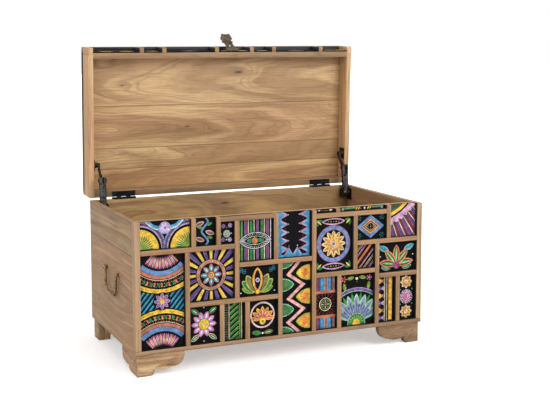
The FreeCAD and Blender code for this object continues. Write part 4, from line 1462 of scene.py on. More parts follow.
@dataclass(frozen=True)
class SlantStripes:
    """Parallel slanting stripes over a whole panel."""

    slope: float
    pitch: float
    width: float
    paint: Paint
    phase: float = 0.0

    def draw(self, relief: Relief) -> None:
        """Lays the strokes.

        Args:
            relief: The paint it joins.
        """
        panel = relief.panel
        aspect_x, aspect_y = panel.unit / panel.width, panel.unit / panel.height
        angle = math.radians(self.slope)
        across = Vector((-math.sin(angle), math.cos(angle)))
        along = Vector((math.cos(angle), math.sin(angle)))
        reach = math.hypot(panel.width, panel.height) / panel.unit
        count = int(reach / self.pitch) + 2
        for number in range(-count // 2, count // 2 + 1):
            middle = across * (number * self.pitch + self.phase)
            ends = [middle - along * reach / 2, middle + along * reach / 2]
            spots = [(0.5 + end.x * aspect_x, 0.5 + end.y * aspect_y) for end in ends]
            Bar(spots[0], spots[1], self.width, self.paint).draw(relief)


Stroke = Union[Disc, Arc, Bar, Petal, Rays, Beads, BeadArc, Line, Lashes, Tooth, UprightStripe,
               SlantStripes]
Design = tuple[Stroke, ...]


# Motifs of folk ornament, from which the designs are put together

def about(at: Point, *strokes: Stroke) -> Design:
    """Moves strokes that are given about the panel's middle to another centre."""
    return tuple(replace(stroke, at=at) for stroke in strokes)


def each(makes: Callable[..., Iterable[Stroke]], *values: tuple) -> Design:
    """The strokes that a motif makes for each of several values, in order."""
    return tuple(stroke for value in values for stroke in makes(*value))


def vesica(length: float, width: float, rim: float, outline: Paint, ground: Paint) -> Design:
    """A pointed oval with a rim."""
    return (Petal(length, width, 0, outline, centred=True),
            Petal(length - 2.6 * rim, width - 2 * rim, 0, ground, centred=True))


def discs(*rounds: tuple) -> Design:
    """Discs laid on one another, each given as Disc is."""
    return tuple(Disc(*given) for given in rounds)


def corner_sun(radius: float, start: float) -> Design:
    """A yellow sun to set in a corner, with thin green rays and bands round it.

    Args:
        radius: Radius of the yellow disc.
        start: Direction in degrees at which the visible quarter begins.

    Returns:
        The strokes, from the bottom up.
    """
    return (Disc(radius, YELLOW, 56), Disc(radius * 0.66, LIME, 44),
            Rays(radius * 0.14, radius * 0.74, radius * 0.075, 9, (GREEN,), start + 4, 82),
            Rays(radius * 0.3, radius * 0.86, radius * 0.06, 8, (YELLOW,), start + 9, 72),
            BeadArc(radius * 0.9, 16, radius * 0.018, (CREAM, AMBER), start + 3, 84),
            *(Arc(reach, width, paint, start - 8, 106) for reach, width, paint in (
                (0.845, 0.045, LILAC), (0.895, 0.03, MAUVE),
                (0.985, 0.04, PERIWINKLE))),
            *(BeadArc(reach, count, size, paints, start - 4, 98)
              for reach, count, size, paints in (
                  (0.845, 40, 0.01, (BLACK, WHITE)),
                  (0.94, 44, 0.012, (PINK, LILAC)),
                  (0.985, 46, 0.009, (WHITE, PURPLE)))))


def outlined_petals(inner: float, outer: float, width: float, count: int, start: float,
                    sweep: float, *paints: Paint) -> Design:
    """A fan of petals, each with a rim, a body and a vein.

    Args:
        inner: Where the petals begin, from the centre.
        outer: Where they end.
        width: Width of a petal.
        count: Number of petals.
        start: Angle of the first petal, in degrees.
        sweep: Angle from the first petal to the last.
        paints: Colours of rim, body and vein.

    Returns:
        The strokes.
    """
    slim = (outer - inner) * 0.1
    cuts = ((0, 0, 1.0), (slim, slim, 0.68), (slim * 2, slim * 3, 0.2))
    return tuple(Rays(inner + near, outer - far, width * share, count, (paint,), start, sweep,
                      Tip.BOTH_POINTED) for (near, far, share), paint in zip(cuts, paints))


def leaf(at: Point, length: float, turn: float, *paints: Paint) -> Design:
    """A leaf with a lighter edge and a vein.

    Args:
        at: Where the leaf begins.
        length: Its length.
        turn: The way it points, in degrees.
        paints: Colours of edge, body and vein.

    Returns:
        The strokes.
    """
    cuts = ((1.0, 0.46, 0.0), (0.88, 0.33, 0.05), (0.66, 0.07, 0.14))
    return about(at, *(Petal(length * long, length * wide, turn, paint, inset=length * inset)
                       for (long, wide, inset), paint in zip(cuts, paints)))


def small_flower(at: Point, outer: Paint, heart: Paint) -> Design:
    """A small round flower of five petals.

    Args:
        at: Its middle.
        outer: Paint of the petals.
        heart: Paint of the middle.

    Returns:
        The strokes, from the bottom up.
    """
    radius, petals = 0.085, 5
    return about(at, Rays(radius * 0.2, radius, radius * 3.4 / petals, petals, (outer,)),
                 Disc(radius * 0.32, heart, 12))


def stripes(*bands: tuple[float, float, Paint], bottom: float = 0.0,
            top: float = 1.0) -> Design:
    """Upright stripes, each from one share of the panel's width to another."""
    return tuple(UprightStripe(*band, bottom, top) for band in bands)


def great_sun(start: float) -> Design:
    """The rings of a great sun, from its fan out to its beaded rim.

    Args:
        start: Angle of the sun's first edge, in degrees.

    Returns:
        The strokes.
    """
    sweep = 88.0
    return (
        Disc(1.13, BLACK, 80),
        Rays(0.3, 0.575, 0.055, 19, (ROSE, PURPLE, CORAL, MAUVE),
             start + 4, 80),
        Rays(0.34, 0.54, 0.012, 18, (CREAM,), start + 6.5, 76, Tip.BOTH_POINTED),
        Arc(0.672, 0.1, PERIWINKLE, start, sweep),
        Arc(0.645, 0.02, SKY, start, sweep),
        Arc(0.765, 0.07, TERRACOTTA, start, sweep),
        Arc(0.825, 0.014, CREAM, start, sweep),
        BeadArc(0.85, 44, 0.009, (CORAL, BLACK), start + 1, sweep),
        Rays(0.865, 0.97, 0.06, 17, (CORAL, BLACK), start + 2, sweep - 4),
        BeadArc(0.925, 8, 0.042, (GREEN,), start + 7, sweep - 12),
        BeadArc(0.925, 8, 0.016, (LIME, CORAL), start + 7.6, sweep - 12),
        BeadArc(0.895, 34, 0.011, (CREAM, CORAL), start + 2, sweep - 4),
        BeadArc(0.965, 40, 0.01, (CREAM, SALMON, GREEN), start + 2,
                sweep - 4),
        Arc(1.062, 0.088, YELLOW, start - 3, sweep + 6),
        BeadArc(1.062, 56, 0.01, (AMBER, ORANGE), start, sweep),
    )


def corner_leaves(at: Point, turn: float) -> Design:
    """A pair of small leaves and a bud in a corner.

    Args:
        at: The corner.
        turn: The way into the panel, in degrees.

    Returns:
        The strokes.
    """
    reach = 0.155
    return about(at, Petal(reach, reach * 0.42, turn - 38, GREEN),
                 Petal(reach, reach * 0.42, turn + 38, GREEN),
                 Petal(reach * 1.02, reach * 0.26, turn, YELLOW),
                 Petal(reach * 0.6, reach * 0.08, turn, CREAM, inset=reach * 0.2))


def line_at(side: float, *spots: Point, width: float, paint: Paint) -> Line:
    """A curve given on the panel's right half, laid there or mirrored by a side of -1."""
    return Line(tuple((0.5 + side * across, up) for across, up in spots), width, paint)


def leaf_pair(at: Point, length: float, turn: float, *paints: Paint) -> Design:
    """A leaf and its mirror image across the panel's middle, given as leaf is."""
    return (*leaf(at, length, turn, *paints),
            *leaf((1.0 - at[0], at[1]), length, 180 - turn, *paints))


def lines(spots: tuple[Point, ...], *coats: tuple[float, float, Paint],
          smooth: bool = True) -> Design:
    """Lines over one another on one course, each given by its shift, width and colour."""
    return tuple(Line(tuple((across + shift, up) for across, up in spots), width, paint, smooth)
                 for shift, width, paint in coats)


# The front's designs, from left to right and from the bottom up

HALF_SUNS: Design = (
    SlantStripes(50, 0.09, 0.046, PETROL),
    SlantStripes(50, 0.09, 0.016, SKY, 0.008),
    *about((0.5, 1.12), *great_sun(226)),
    *about((0.5, -0.12), *great_sun(46)),
    Disc(0.2, BLACK),
    *outlined_petals(0.04, 0.185, 0.08, 8, 0, 315, PINK, PURPLE, LILAC),
    *discs((0.06, AMBER), (0.036, YELLOW)),
)
TWIN_SUNS: Design = (
    *(stroke for at, start in (((0.0, 0.0), 0), ((1.0, 0.0), 90))
      for stroke in about(at, Disc(1.03, BLACK, 56), *corner_sun(0.73, start))),
    *(line_at(side, *spots, width=width, paint=paint) for side in (-1, 1)
      for width, paint, *spots in (
          (0.115, SKY, (0.345, 1.02), (0.27, 0.88), (0.19, 0.79), (0.1, 0.76)),
          (0.03, PALE_BLUE, (0.36, 1.01), (0.28, 0.86), (0.195, 0.76), (0.11, 0.725)),
          (0.022, WHITE, (0.375, 1.0), (0.29, 0.83), (0.2, 0.725), (0.12, 0.69)))),
    *about((0.505, 0.745), Disc(0.215, LILAC), Rays(0.05, 0.2, 0.028, 14, (PINK, WHITE)),
        Disc(0.045, MAUVE)),
)
PINK_BLOSSOM: Design = (
    *leaf_pair((0.06, 0.93), 0.34, -35, LEAF, GREEN, WHITE),
    *leaf_pair((0.06, 0.07), 0.34, 35, CREAM, GREEN, WHITE),
    *outlined_petals(0.12, 0.43, 0.17, 10, 0, 324, ROSE, LILAC, WHITE),
    *discs((0.195, MAROON), (0.175, YELLOW)),
    Rays(0.05, 0.15, 0.026, 12, (LEAF, LIME)),
    Disc(0.036, SILVER, 14),
    Beads((0.5, 0.955), (0.5, 0.045), 2, 0.024, (WHITE,)),
)
SUNBURST: Design = (
    Rays(0.06, 0.86, 0.105, 24, (YELLOW, PURPLE)),
    Rays(0.3, 0.82, 0.014, 12, (CREAM,), 3.5),
    Rays(0.3, 0.84, 0.012, 12, (LILAC,), 19),
    *discs((0.345, BLACK, 40), (0.328, SILVER, 40), (0.316, TERRACOTTA, 40), (0.256, BLACK, 40)),
    BeadArc(0.286, 26, 0.011, (CREAM, TURQUOISE)),
    *outlined_petals(0.06, 0.24, 0.1, 8, 0, 315, DUSKY, TURQUOISE, WHITE),
    *discs((0.085, BROWN, 24), (0.062, AMBER), (0.038, MAROON), (0.02, CREAM)),
)
WAVY_VINE: Design = (
    *lines(((0.5, 1.04), (0.66, 0.86), (0.5, 0.68), (0.34, 0.5), (0.5, 0.32), (0.66, 0.14), (0.5, -0.04)),
        (0.0, 0.09, PERIWINKLE), (0.03, 0.02, SKY)),
    *(stroke for at, turn in (((0.46, 0.84), 200), ((0.54, 0.5), -20), ((0.46, 0.16), 160))
      for stroke in leaf(at, 0.46, turn, CREAM, DUSKY, MAROON)),
    *(stroke for at, turn in (((0.4, 0.62), 165), ((0.6, 0.72), 20), ((0.6, 0.3), -15))
      for stroke in leaf(at, 0.3, turn, LEAF, GREEN, LIME)),
)
SEED_HEAD: Design = (
    *(Disc(0.155, paint, 20, at) for at, paint in (
        ((0.28, 0.78), MAUVE), ((0.79, 0.8), LILAC), ((0.25, 0.175), MAUVE),
        ((0.76, 0.165), LILAC))),
    *(BeadArc(0.09, 8, 0.03, (LILAC, MAUVE), at=at) for at in (
        (0.28, 0.78), (0.79, 0.8), (0.25, 0.175), (0.76, 0.165))),
    *about((0.53, 0.43), Disc(0.265, SILVER), BeadArc(0.205, 12, 0.038, (CREAM, SILVER)),
        BeadArc(0.115, 8, 0.036, (LEAF, SILVER)), Disc(0.045, CREAM, 14)),
    Beads((0.87, 0.44), (0.5, 0.17), 2, 0.055, (WHITE,)),
    Beads((0.53, 0.715), (0.1, 0.44), 2, 0.04, (SILVER,)),
)
HERRINGBONE: Design = (
    *(Beads((0.02 + 0.045 * column, 0.01 * (column % 2) + 0.012),
            (0.02 + 0.045 * column, 0.99), 38, 0.015,
            (SILVER, BROWN, LEAF, SILVER, BLACK))
      for column in range(5)),
    UprightStripe(0.262, 0.292, CREAM),
    Beads((0.315, 0.012), (0.315, 0.99), 40, 0.014, (LIME, CREAM)),
    *(Line(tuple((across, 0.1425 * step + up) for across, up in spots), width, paint)
      for width, paint, *spots in (
          (0.088, GREEN, (0.335, -0.165), (0.46, -0.105), (0.745, 0.015)),
          (0.02, LIME, (0.335, -0.125), (0.46, -0.065), (0.745, 0.06)))
      for step in range(9)),
    Beads((0.775, 0.012), (0.775, 0.99), 40, 0.015, (LIME, CREAM)),
    *stripes((0.8, 0.835, LEAF), (0.875, 0.905, CREAM)),
)
GOLDEN_BUD: Design = (
    *(stroke for length, turn, body in ((0.5, 18, LEAF), (0.62, 40, GREEN),
                                        (0.66, 62, BROWN))
      for stroke in leaf_pair((0.44, 0.1), length, 180 - turn, LIME, body, LEAF)),
    Petal(0.92, 0.44, 90, BLACK, at=(0.5, 0.06)),
    *about((0.5, 0.1), Petal(0.82, 0.38, 90, AMBER), Petal(0.68, 0.22, 90, BLACK, inset=0.07)),
    *discs((0.078, LILAC, 20), (0.04, MAUVE)),
    BeadArc(0.058, 8, 0.01, (WHITE,)),
    *about((0.5, 0.11), *discs((0.095, TERRACOTTA), (0.066, YELLOW))),
    *(line_at(side, (0.47, 0.84 + drop), (0.42, 0.88 + drop), (0.36, 0.81 + drop),
              (0.3, 0.83 + drop), width=0.02, paint=paint)
      for side in (-1, 1)
      for drop, paint in ((0.0, SKY), (-0.06, TEAL), (0.06, TEAL))),
    Beads((0.06, 0.1), (0.94, 0.1), 2, 0.026, (WHITE,)),
)
STRIPED_EYE: Design = (
    *stripes((0.02, 0.05, LIME), (0.075, 0.14, GREEN), (0.18, 0.275, MAUVE), (0.29, 0.312, CREAM),
        (0.345, 0.42, GREEN), (0.455, 0.48, CREAM), (0.525, 0.605, MAUVE), (0.66, 0.735, GREEN),
        (0.755, 0.78, CREAM), (0.81, 0.9, MAUVE), (0.94, 0.962, WHITE), (0.1, 0.112, LIME),
        (0.372, 0.386, LEAF), (0.565, 0.577, PURPLE), (0.69, 0.702, LEAF), (0.225, 0.237, PURPLE),
        (0.85, 0.862, MAROON)),
    *about((0.5, 0.48), Petal(0.98, 0.5, 0, BLACK, centred=True), *vesica(0.93, 0.455, 0.014, WHITE, BLACK),
        Lashes(0.88, 0.4, 0.78, 44, 0.012, (WHITE, LILAC)), *vesica(0.68, 0.245, 0.013, CREAM, BLACK)),
    *(Petal(length, width, turn, paint, at=(0.5 + side * reach, 0.48))
      for side, turn in ((-1, 0), (1, 180))
      for length, width, reach, paint in ((0.21, 0.125, 0.255, GREEN),
                                          (0.17, 0.055, 0.245, TEAL))),
    *about((0.485, 0.476), *discs((0.098, GREEN), (0.08, ORANGE)), BeadArc(0.045, 7, 0.012, (AMBER,))),
)
RINGED_BUD: Design = (
    *about((0.5, 0.575), *discs((0.44, PALE_PINK, 44), (0.385, BLACK, 44)),
        BeadArc(0.412, 30, 0.01, (ROSE,))),
    *about((0.5, 0.46), *outlined_petals(0.05, 0.43, 0.15, 7, 6, 168, YELLOW, ORANGE, PALE_PINK)),
    *about((0.5, 0.4), *discs((0.11, AMBER), (0.086, YELLOW), (0.048, LEAF))),
    *leaf((0.46, 0.075), 0.34, 172, LEAF, GREEN, LEAF),
    *leaf((0.54, 0.075), 0.34, 8, BROWN, GREEN, CREAM),
    Disc(0.034, WHITE, 12, (0.5, 0.075)),
)
TOOTHED_NIGHT: Design = (
    *stripes((0.02, 0.135, SKY), (0.885, 0.975, SKY)),
    *(stroke for height, paint in ((0.93, WHITE), (0.725, CREAM),
                                   (0.545, WHITE), (0.36, PINK),
                                   (0.18, PINK)) for stroke in (
        *(Tooth((across, height + half), (across, height - half), tall, tint)
          for across, half, tall, tint in (
              (0.125, 0.09, 0.235, DUSKY), (0.12, 0.078, 0.205, LILAC),
              (0.115, 0.062, 0.14, SKY), (0.89, -0.09, 0.24, DUSKY),
              (0.895, -0.078, 0.21, LILAC), (0.9, -0.062, 0.14, SKY))),
        Beads((0.335, height), (0.66, height), 2, 0.015, (paint,)),
        Beads((0.245, height - 0.095), (0.775, height - 0.095), 2, 0.01, (LEAF,)))),
    Bar((0.03, 0.03), (0.96, 0.03), 0.06, SKY),
    *(Tooth((left, 0.05), (right, 0.05), tall, paint) for left, right, tall, paint in (
        (0.215, 0.475, 0.205, LILAC), (0.235, 0.455, 0.165, SKY),
        (0.47, 0.73, 0.205, LILAC), (0.49, 0.71, 0.165, SKY))),
    Beads((0.345, 0.245), (0.6, 0.245), 2, 0.015, (PINK, WHITE)),
)
ZIGZAG_SUNS: Design = (
    *(stroke for middle in (1.0, 0.68, 0.325, 0.0) for stroke in (
        Petal(0.8, 0.42, 0, PALE_GREEN, at=(-0.36, middle)),
        Petal(0.76, 0.37, 0, GREEN, at=(-0.35, middle)),
        Rays(0.06, 0.3, 0.02, 5, (BROWN, LEAF), -40, 80, Tip.BOTH_POINTED,
             (0.02, middle)))),
    *(stroke for middle in (0.835, 0.495, 0.145) for stroke in (
        *about((1.44, middle), Petal(0.93, 0.5, 180, LIME),
               Petal(0.895, 0.455, 180, AMBER), Petal(0.87, 0.4, 180, YELLOW)),
        *about((1.04, middle),
               Rays(0.1, 0.4, 0.036, 7, (ORANGE,), 150, 60, Tip.BOTH_POINTED),
               Rays(0.12, 0.24, 0.03, 2, (ORANGE,), 132, 96, Tip.BOTH_POINTED)))),
    *lines(((0.72, 1.05), (0.235, 0.825), (0.75, 0.67), (0.245, 0.48), (0.765, 0.325), (0.235, 0.145),
        (0.68, -0.03)), (0.0, 0.098, SALMON), (-0.02, 0.018, PALE_PINK), smooth=False),
)
BANDED_SUN: Design = (
    *about((0.5, 0.465), Rays(0.2, 0.9, 0.07, 34, (MAROON, BLACK), 3),
        Rays(0.4, 0.88, 0.02, 34, (BLACK, TERRACOTTA), 3)),
    *(Bar((0.0, height), (1.0, height), 0.72, BLACK) for height in (0.865, 0.065)),
    *(stroke for low, high in ((0.725, 1.0), (0.0, 0.205)) for stroke in stripes(
        (0.03, 0.09, MAUVE), (0.12, 0.16, DUSKY), (0.18, 0.24, PURPLE),
        (0.27, 0.41, SKY), (0.43, 0.455, LILAC), (0.48, 0.5, CREAM),
        (0.52, 0.575, DUSKY), (0.595, 0.615, CREAM), (0.645, 0.775, SKY),
        (0.8, 0.82, PURPLE), (0.85, 0.885, DUSKY), (0.92, 0.94, CREAM),
        bottom=low, top=high)),
    *(Bar((0.0, height), (1.0, height), width, paint)
      for width, paint in ((0.115, TERRACOTTA), (0.05, ORANGE))
      for height in (0.7, 0.23)),
    *about((0.5, 0.465), *discs((0.32, BLACK), (0.295, CREAM), (0.262, BLACK), (0.225, OLIVE),
        (0.19, BLACK)), Rays(0.05, 0.175, 0.07, 8, (PALE_GREEN, LEAF)),
        *discs((0.062, MAROON), (0.034, CORAL))),
)
RINGED_LOTUS: Design = (
    *each(corner_leaves, ((0.06, 0.05), 45), ((0.96, 0.05), 135), ((0.96, 0.95), 225), ((0.06, 0.95), 315)),
    *(stroke for middle in (0.915, 0.085) for stroke in (
        *about((0.5, middle), *vesica(0.62, 0.17, 0.034, PINK, BLACK)),
        Beads((0.36, middle), (0.64, middle), 5, 0.016, (LEAF, YELLOW)))),
    *discs((0.458, DUSKY, 56), (0.446, PERIWINKLE, 56)),
    BeadArc(0.4, 64, 0.008, (LILAC, SKY)),
    *discs((0.356, DUSKY, 44), (0.344, BLACK, 44)),
    *outlined_petals(0.08, 0.33, 0.11, 12, 0, 330, CREAM, AMBER, BROWN),
    *outlined_petals(0.04, 0.19, 0.085, 8, 12, 315, YELLOW, TERRACOTTA, CREAM),
    *discs((0.066, PINK, 20), (0.036, GREEN)),
)
SMALL_BEADS: Design = (
    Bar((0.05, 0.55), (0.95, 0.55), 0.1, OLIVE),
    Petal(0.62, 0.42, 0, PALE_PINK, at=(0.17, 0.62)),
    Petal(0.95, 0.5, 0, CREAM, at=(0.74, 0.62)),
    Beads((0.34, 0.5), (0.64, 0.5), 5, 0.14, (BROWN, OLIVE)),
)
GREEN_STRAND: Design = (
    Bar((0.1, 0.52), (0.92, 0.52), 0.36, GREEN),
    Bar((0.13, 0.78), (0.37, 0.78), 0.13, CREAM),
    Bar((0.72, 0.78), (0.9, 0.78), 0.13, PALE_GREEN),
    Bar((0.36, 0.5), (0.71, 0.5), 0.95, BLACK),
    *(Disc(radius, paint, sides, (across, 0.5))
      for radius, paint, sides in ((0.4, PALE_GREEN, 14), (0.22, SKY, 12))
      for across in (0.085, 0.93)),
    *(Petal(1.1, 0.42, 55, YELLOW, at=(across + shift, 0.12))
      for across, shift in ((0.39, -0.03), (0.39, 0.02), (0.61, 0.0), (0.61, 0.045))),
    Disc(0.22, OLIVE, 10, (0.47, 0.45)),
    *about((0.55, 0.5), *discs((0.36, LILAC, 14), (0.18, WHITE, 10))),
)
FAN_SHELL: Design = (
    *about((0.5, 0.03), *discs((0.965, LILAC, 64), (0.945, PURPLE, 64)),
        BeadArc(0.915, 60, 0.008, (PINK, LILAC), 20, 140),
        *discs((0.88, PALE_GREEN, 64), (0.864, BLACK, 64)),
        Rays(0.22, 0.84, 0.11, 8, (GREEN,), 22, 136, Tip.BOTH_POINTED),
        Rays(0.26, 0.8, 0.02, 8, (LEAF,), 22, 136, Tip.BOTH_POINTED),
        *outlined_petals(0.14, 0.8, 0.195, 7, 31, 118, PALE_GREEN, GREY_LILAC, TEAL),
        *discs((0.27, PALE_GREEN, 36), (0.252, GREEN, 36)),
        Rays(0.13, 0.235, 0.022, 9, (LIME,), 14, 152, Tip.BOTH_POINTED),
        *discs((0.118, AMBER), (0.096, YELLOW))),
    *small_flower((0.12, 0.9), CORAL, MAROON),
    *small_flower((0.88, 0.9), DUSKY, PINK),
    *leaf_pair((0.22, 0.9), 0.2, 10, LIME, GREEN, YELLOW),
    *leaf_pair((0.12, 0.82), 0.2, -80, LIME, GREEN, YELLOW),
    Disc(0.036, CREAM, 12, (0.5, 0.9)),
    Beads((0.5, 0.97), (0.5, 0.84), 2, 0.018, (MAROON, BROWN)),
)
SLANT_CANE: Design = (
    Bar((-0.02, 0.66), (0.42, 1.1), 0.1, BROWN),
    Bar((-0.06, 0.56), (0.52, 1.06), 0.02, CREAM),
    Bar((-0.04, 0.36), (0.66, 1.06), 0.095, MAUVE),
    Bar((-0.04, 0.4), (0.62, 1.06), 0.018, LILAC),
    Bar((-0.04, 0.08), (0.96, 1.06), 0.125, ORANGE),
    Bar((-0.04, 0.02), (1.0, 1.04), 0.03, BROWN),
    Bar((0.14, -0.04), (1.06, 0.86), 0.06, DUSKY),
    Bar((0.18, -0.04), (1.06, 0.82), 0.018, CREAM),
    Bar((0.42, -0.04), (1.06, 0.56), 0.11, OLIVE),
    Bar((0.36, -0.04), (1.06, 0.63), 0.016, LILAC),
    Bar((0.66, -0.04), (1.06, 0.34), 0.07, MAUVE),
    Bar((0.74, -0.04), (1.06, 0.26), 0.02, PINK),
)
NESTED_LOZENGES: Design = (
    *(Rays(0.02, 0.13, 0.045, 6, (TEAL, PETROL), at=at) for at in (
        (0.1, 0.88), (0.9, 0.88), (0.1, 0.12), (0.9, 0.12))),
    *(Line(((0.5 - reach, 0.5), (0.5, 0.5 + reach), (0.5 + reach, 0.5), (0.5, 0.5 - reach)),
           width, paint, smooth=False, closed=True) for reach, width, paint in (
               (0.415, 0.1, PERIWINKLE), (0.415, 0.036, SKY),
               (0.325, 0.034, TERRACOTTA), (0.275, 0.022, CREAM),
               (0.23, 0.036, MAROON), (0.18, 0.026, AMBER))),
    Beads((0.41, 0.5), (0.59, 0.5), 3, 0.034, (SKY, CORAL)),
    Beads((0.5, 0.41), (0.5, 0.59), 2, 0.026, (LEAF,)),
)
TRIANGLE_LADDER: Design = (
    *(stroke for number, (paint, tip) in enumerate(
        ((PURPLE, LILAC), (AMBER, BROWN)) * 3) for stroke in (
        Tooth((0.07, 0.165 * number + 0.155), (0.07, 0.165 * number + 0.005), 0.3, paint),
        Tooth((0.4, 0.165 * number + 0.025), (0.4, 0.165 * number + 0.135), 0.2, tip),
        Beads((0.12, 0.165 * number + 0.08), (0.3, 0.165 * number + 0.08), 3, 0.024,
              (CREAM, ORANGE)))),
    *stripes((0.425, 0.455, CREAM), (0.565, 0.59, CREAM)),
    Beads((0.49, 0.01), (0.49, 0.99), 44, 0.016, (DUSKY, LILAC)),
    Beads((0.53, 0.02), (0.53, 0.98), 44, 0.014, (LILAC, MAUVE)),
    *stripes((0.675, 0.885, AMBER), (0.765, 0.79, YELLOW), bottom=0.02, top=0.98),
    *(Beads((across, 0.03), (across, 0.97), 40, 0.012, (ORANGE,))
      for across in (0.7, 0.86)),
)
CORAL_LOTUS: Design = (
    *leaf_pair((0.03, 0.86), 0.42, -24, PALE_GREEN, SKY, PETROL),
    *leaf_pair((0.34, 0.08), 0.36, 168, SILVER, GREEN, PALE_GREEN),
    *(Petal(length, width, turn, paint, inset=inset, at=(0.5, 0.22))
      for turn in (8, 49, 90, 131, 172) for length, width, inset, paint in (
          (0.66, 0.27, 0.0, CORAL), (0.59, 0.21, 0.035, AMBER),
          (0.56, 0.175, 0.05, BLACK), (0.5, 0.12, 0.09, LEAF),
          (0.45, 0.04, 0.12, PALE_GREEN))),
    *about((0.5, 0.19), *discs((0.125, MAUVE), (0.105, MAGENTA)), BeadArc(0.066, 7, 0.016, (DUSKY, PINK))),
    Beads((0.06, 0.52), (0.94, 0.52), 2, 0.026, (WHITE,)),
)
SCALLOPED_CORNER: Design = about(
    (-0.58, 2.14),
    Rays(1.8, 3.05, 0.18, 17, (PURPLE, MAROON), -84, 52),
    Rays(1.85, 3.0, 0.022, 17, (CREAM, DUSKY), -82.4, 52, Tip.BOTH_POINTED),
    Rays(1.85, 3.0, 0.02, 17, (MAUVE, CREAM), -85.4, 52, Tip.BOTH_POINTED),
    Disc(1.86, BLACK, 120),
    Rays(1.72, 2.075, 0.25, 9, (TEAL,), -82.6, 48, Tip.BOTH_POINTED),
    Rays(1.72, 2.06, 0.24, 9, (PINK,), -82.6, 48, Tip.BOTH_POINTED),
    Disc(1.955, PINK, 120),
    BeadArc(1.9, 40, 0.012, (LILAC, ROSE), -80, 46),
    *discs((1.83, BLACK, 120), (1.77, YELLOW, 120)),
    BeadArc(1.715, 40, 0.01, (AMBER, CREAM), -80, 46),
    Disc(1.66, BLACK, 120),
    *(Arc(reach, width, paint, -82, 50) for reach, width, paint in (
        (1.625, 0.02, OLIVE), (1.575, 0.03, TEAL), (1.52, 0.026, LEAF),
        (1.455, 0.04, BROWN))),
)
FLOWER_COLUMN: Design = (
    *(stroke for middle in (0.835, 0.165) for stroke in about(
        (0.5, middle), *outlined_petals(0.06, 0.36, 0.19, 8, 0, 315, CREAM, AMBER,
                                        BROWN),
        *discs((0.085, WHITE, 16), (0.05, TERRACOTTA, 14)))),
    Rays(0.21, 0.395, 0.085, 20, (LILAC, PALE_PINK)),
    *discs((0.25, PINK), (0.205, ROSE)),
    Arc(0.12, 0.034, PINK),
    Disc(0.06, CORAL),
    *(Beads((0.14, up), (0.86, up), 2, 0.034, (SILVER,)) for up in (0.665, 0.335)),
)
FRONT_DESIGNS: tuple[Design, ...] = (
    HALF_SUNS, TWIN_SUNS, PINK_BLOSSOM, SUNBURST, WAVY_VINE, SEED_HEAD, HERRINGBONE,
    GOLDEN_BUD, STRIPED_EYE, RINGED_BUD, TOOTHED_NIGHT, ZIGZAG_SUNS, BANDED_SUN, RINGED_LOTUS,
    SMALL_BEADS, GREEN_STRAND, FAN_SHELL, SLANT_CANE, NESTED_LOZENGES, TRIANGLE_LADDER,
    CORAL_LOTUS, SCALLOPED_CORNER, FLOWER_COLUMN,
)

# The lid's front has its ornament low on black, below the plain upper half

LOW_SUNS: Design = (
    *(stroke for across in (0.28, 0.72) for stroke in about(
        (across, 0.0), Disc(0.27, YELLOW, 36),
        Rays(0.06, 0.22, 0.04, 9, (LIME, LEAF), 10, 160),
        Rays(0.29, 0.38, 0.07, 13, (PINK, PURPLE), 6, 168))),
    Beads((0.08, 0.42), (0.92, 0.42), 9, 0.01, (LEAF, BLACK, WHITE)),
)
LOW_LEAVES: Design = (
    *leaf((0.5, 0.05), 0.34, 90, CREAM, GREEN, LIME),
    *leaf_pair((0.46, 0.05), 0.34, 145, CREAM, LEAF, LIME),
    Disc(0.08, AMBER, at=(0.5, 0.06)),
    Beads((0.14, 0.4), (0.86, 0.4), 4, 0.012, (GREEN,)),
)
LOW_EYE: Design = (
    *about((0.5, 0.21), *vesica(1.0, 0.32, 0.034, PINK, BLACK),
           *(Arc(reach, 0.024, LILAC, side - sweep / 2, sweep)
             for reach, sweep in ((0.11, 90), (0.18, 60)) for side in (0, 180)),
           Disc(0.07, AMBER)),
    Beads((0.1, 0.42), (0.9, 0.42), 6, 0.01, (LEAF, BLACK)),
)
LID_FRONT_DESIGNS: tuple[Design, ...] = (
    LOW_SUNS, LOW_LEAVES, LOW_EYE, LOW_SUNS, LOW_LEAVES, LOW_EYE, LOW_SUNS,
)
LID_TOP_DESIGNS: tuple[Design, ...] = (
    CORAL_LOTUS, NESTED_LOZENGES, HALF_SUNS, ZIGZAG_SUNS, HERRINGBONE, RINGED_LOTUS, GOLDEN_BUD,
    RINGED_BUD, SCALLOPED_CORNER, SUNBURST, STRIPED_EYE, FAN_SHELL,
)


# Sub-assemblies

LEAN = math.radians(2.0)
LID_UP = Vector((0.0, math.cos(LEAN), math.sin(LEAN)))
LID_OUT = Vector((0.0, -math.sin(LEAN), math.cos(LEAN)))
AXIS_X = Vector((1.0, 0.0, 0.0))
AXIS_Y = Vector((0.0, 1.0, 0.0))
AXIS_Z = Vector((0.0, 0.0, 1.0))
BOARD_SHORTEST = 30 * MILLIMETRE
STICK_SHORTEST = 10 * MILLIMETRE


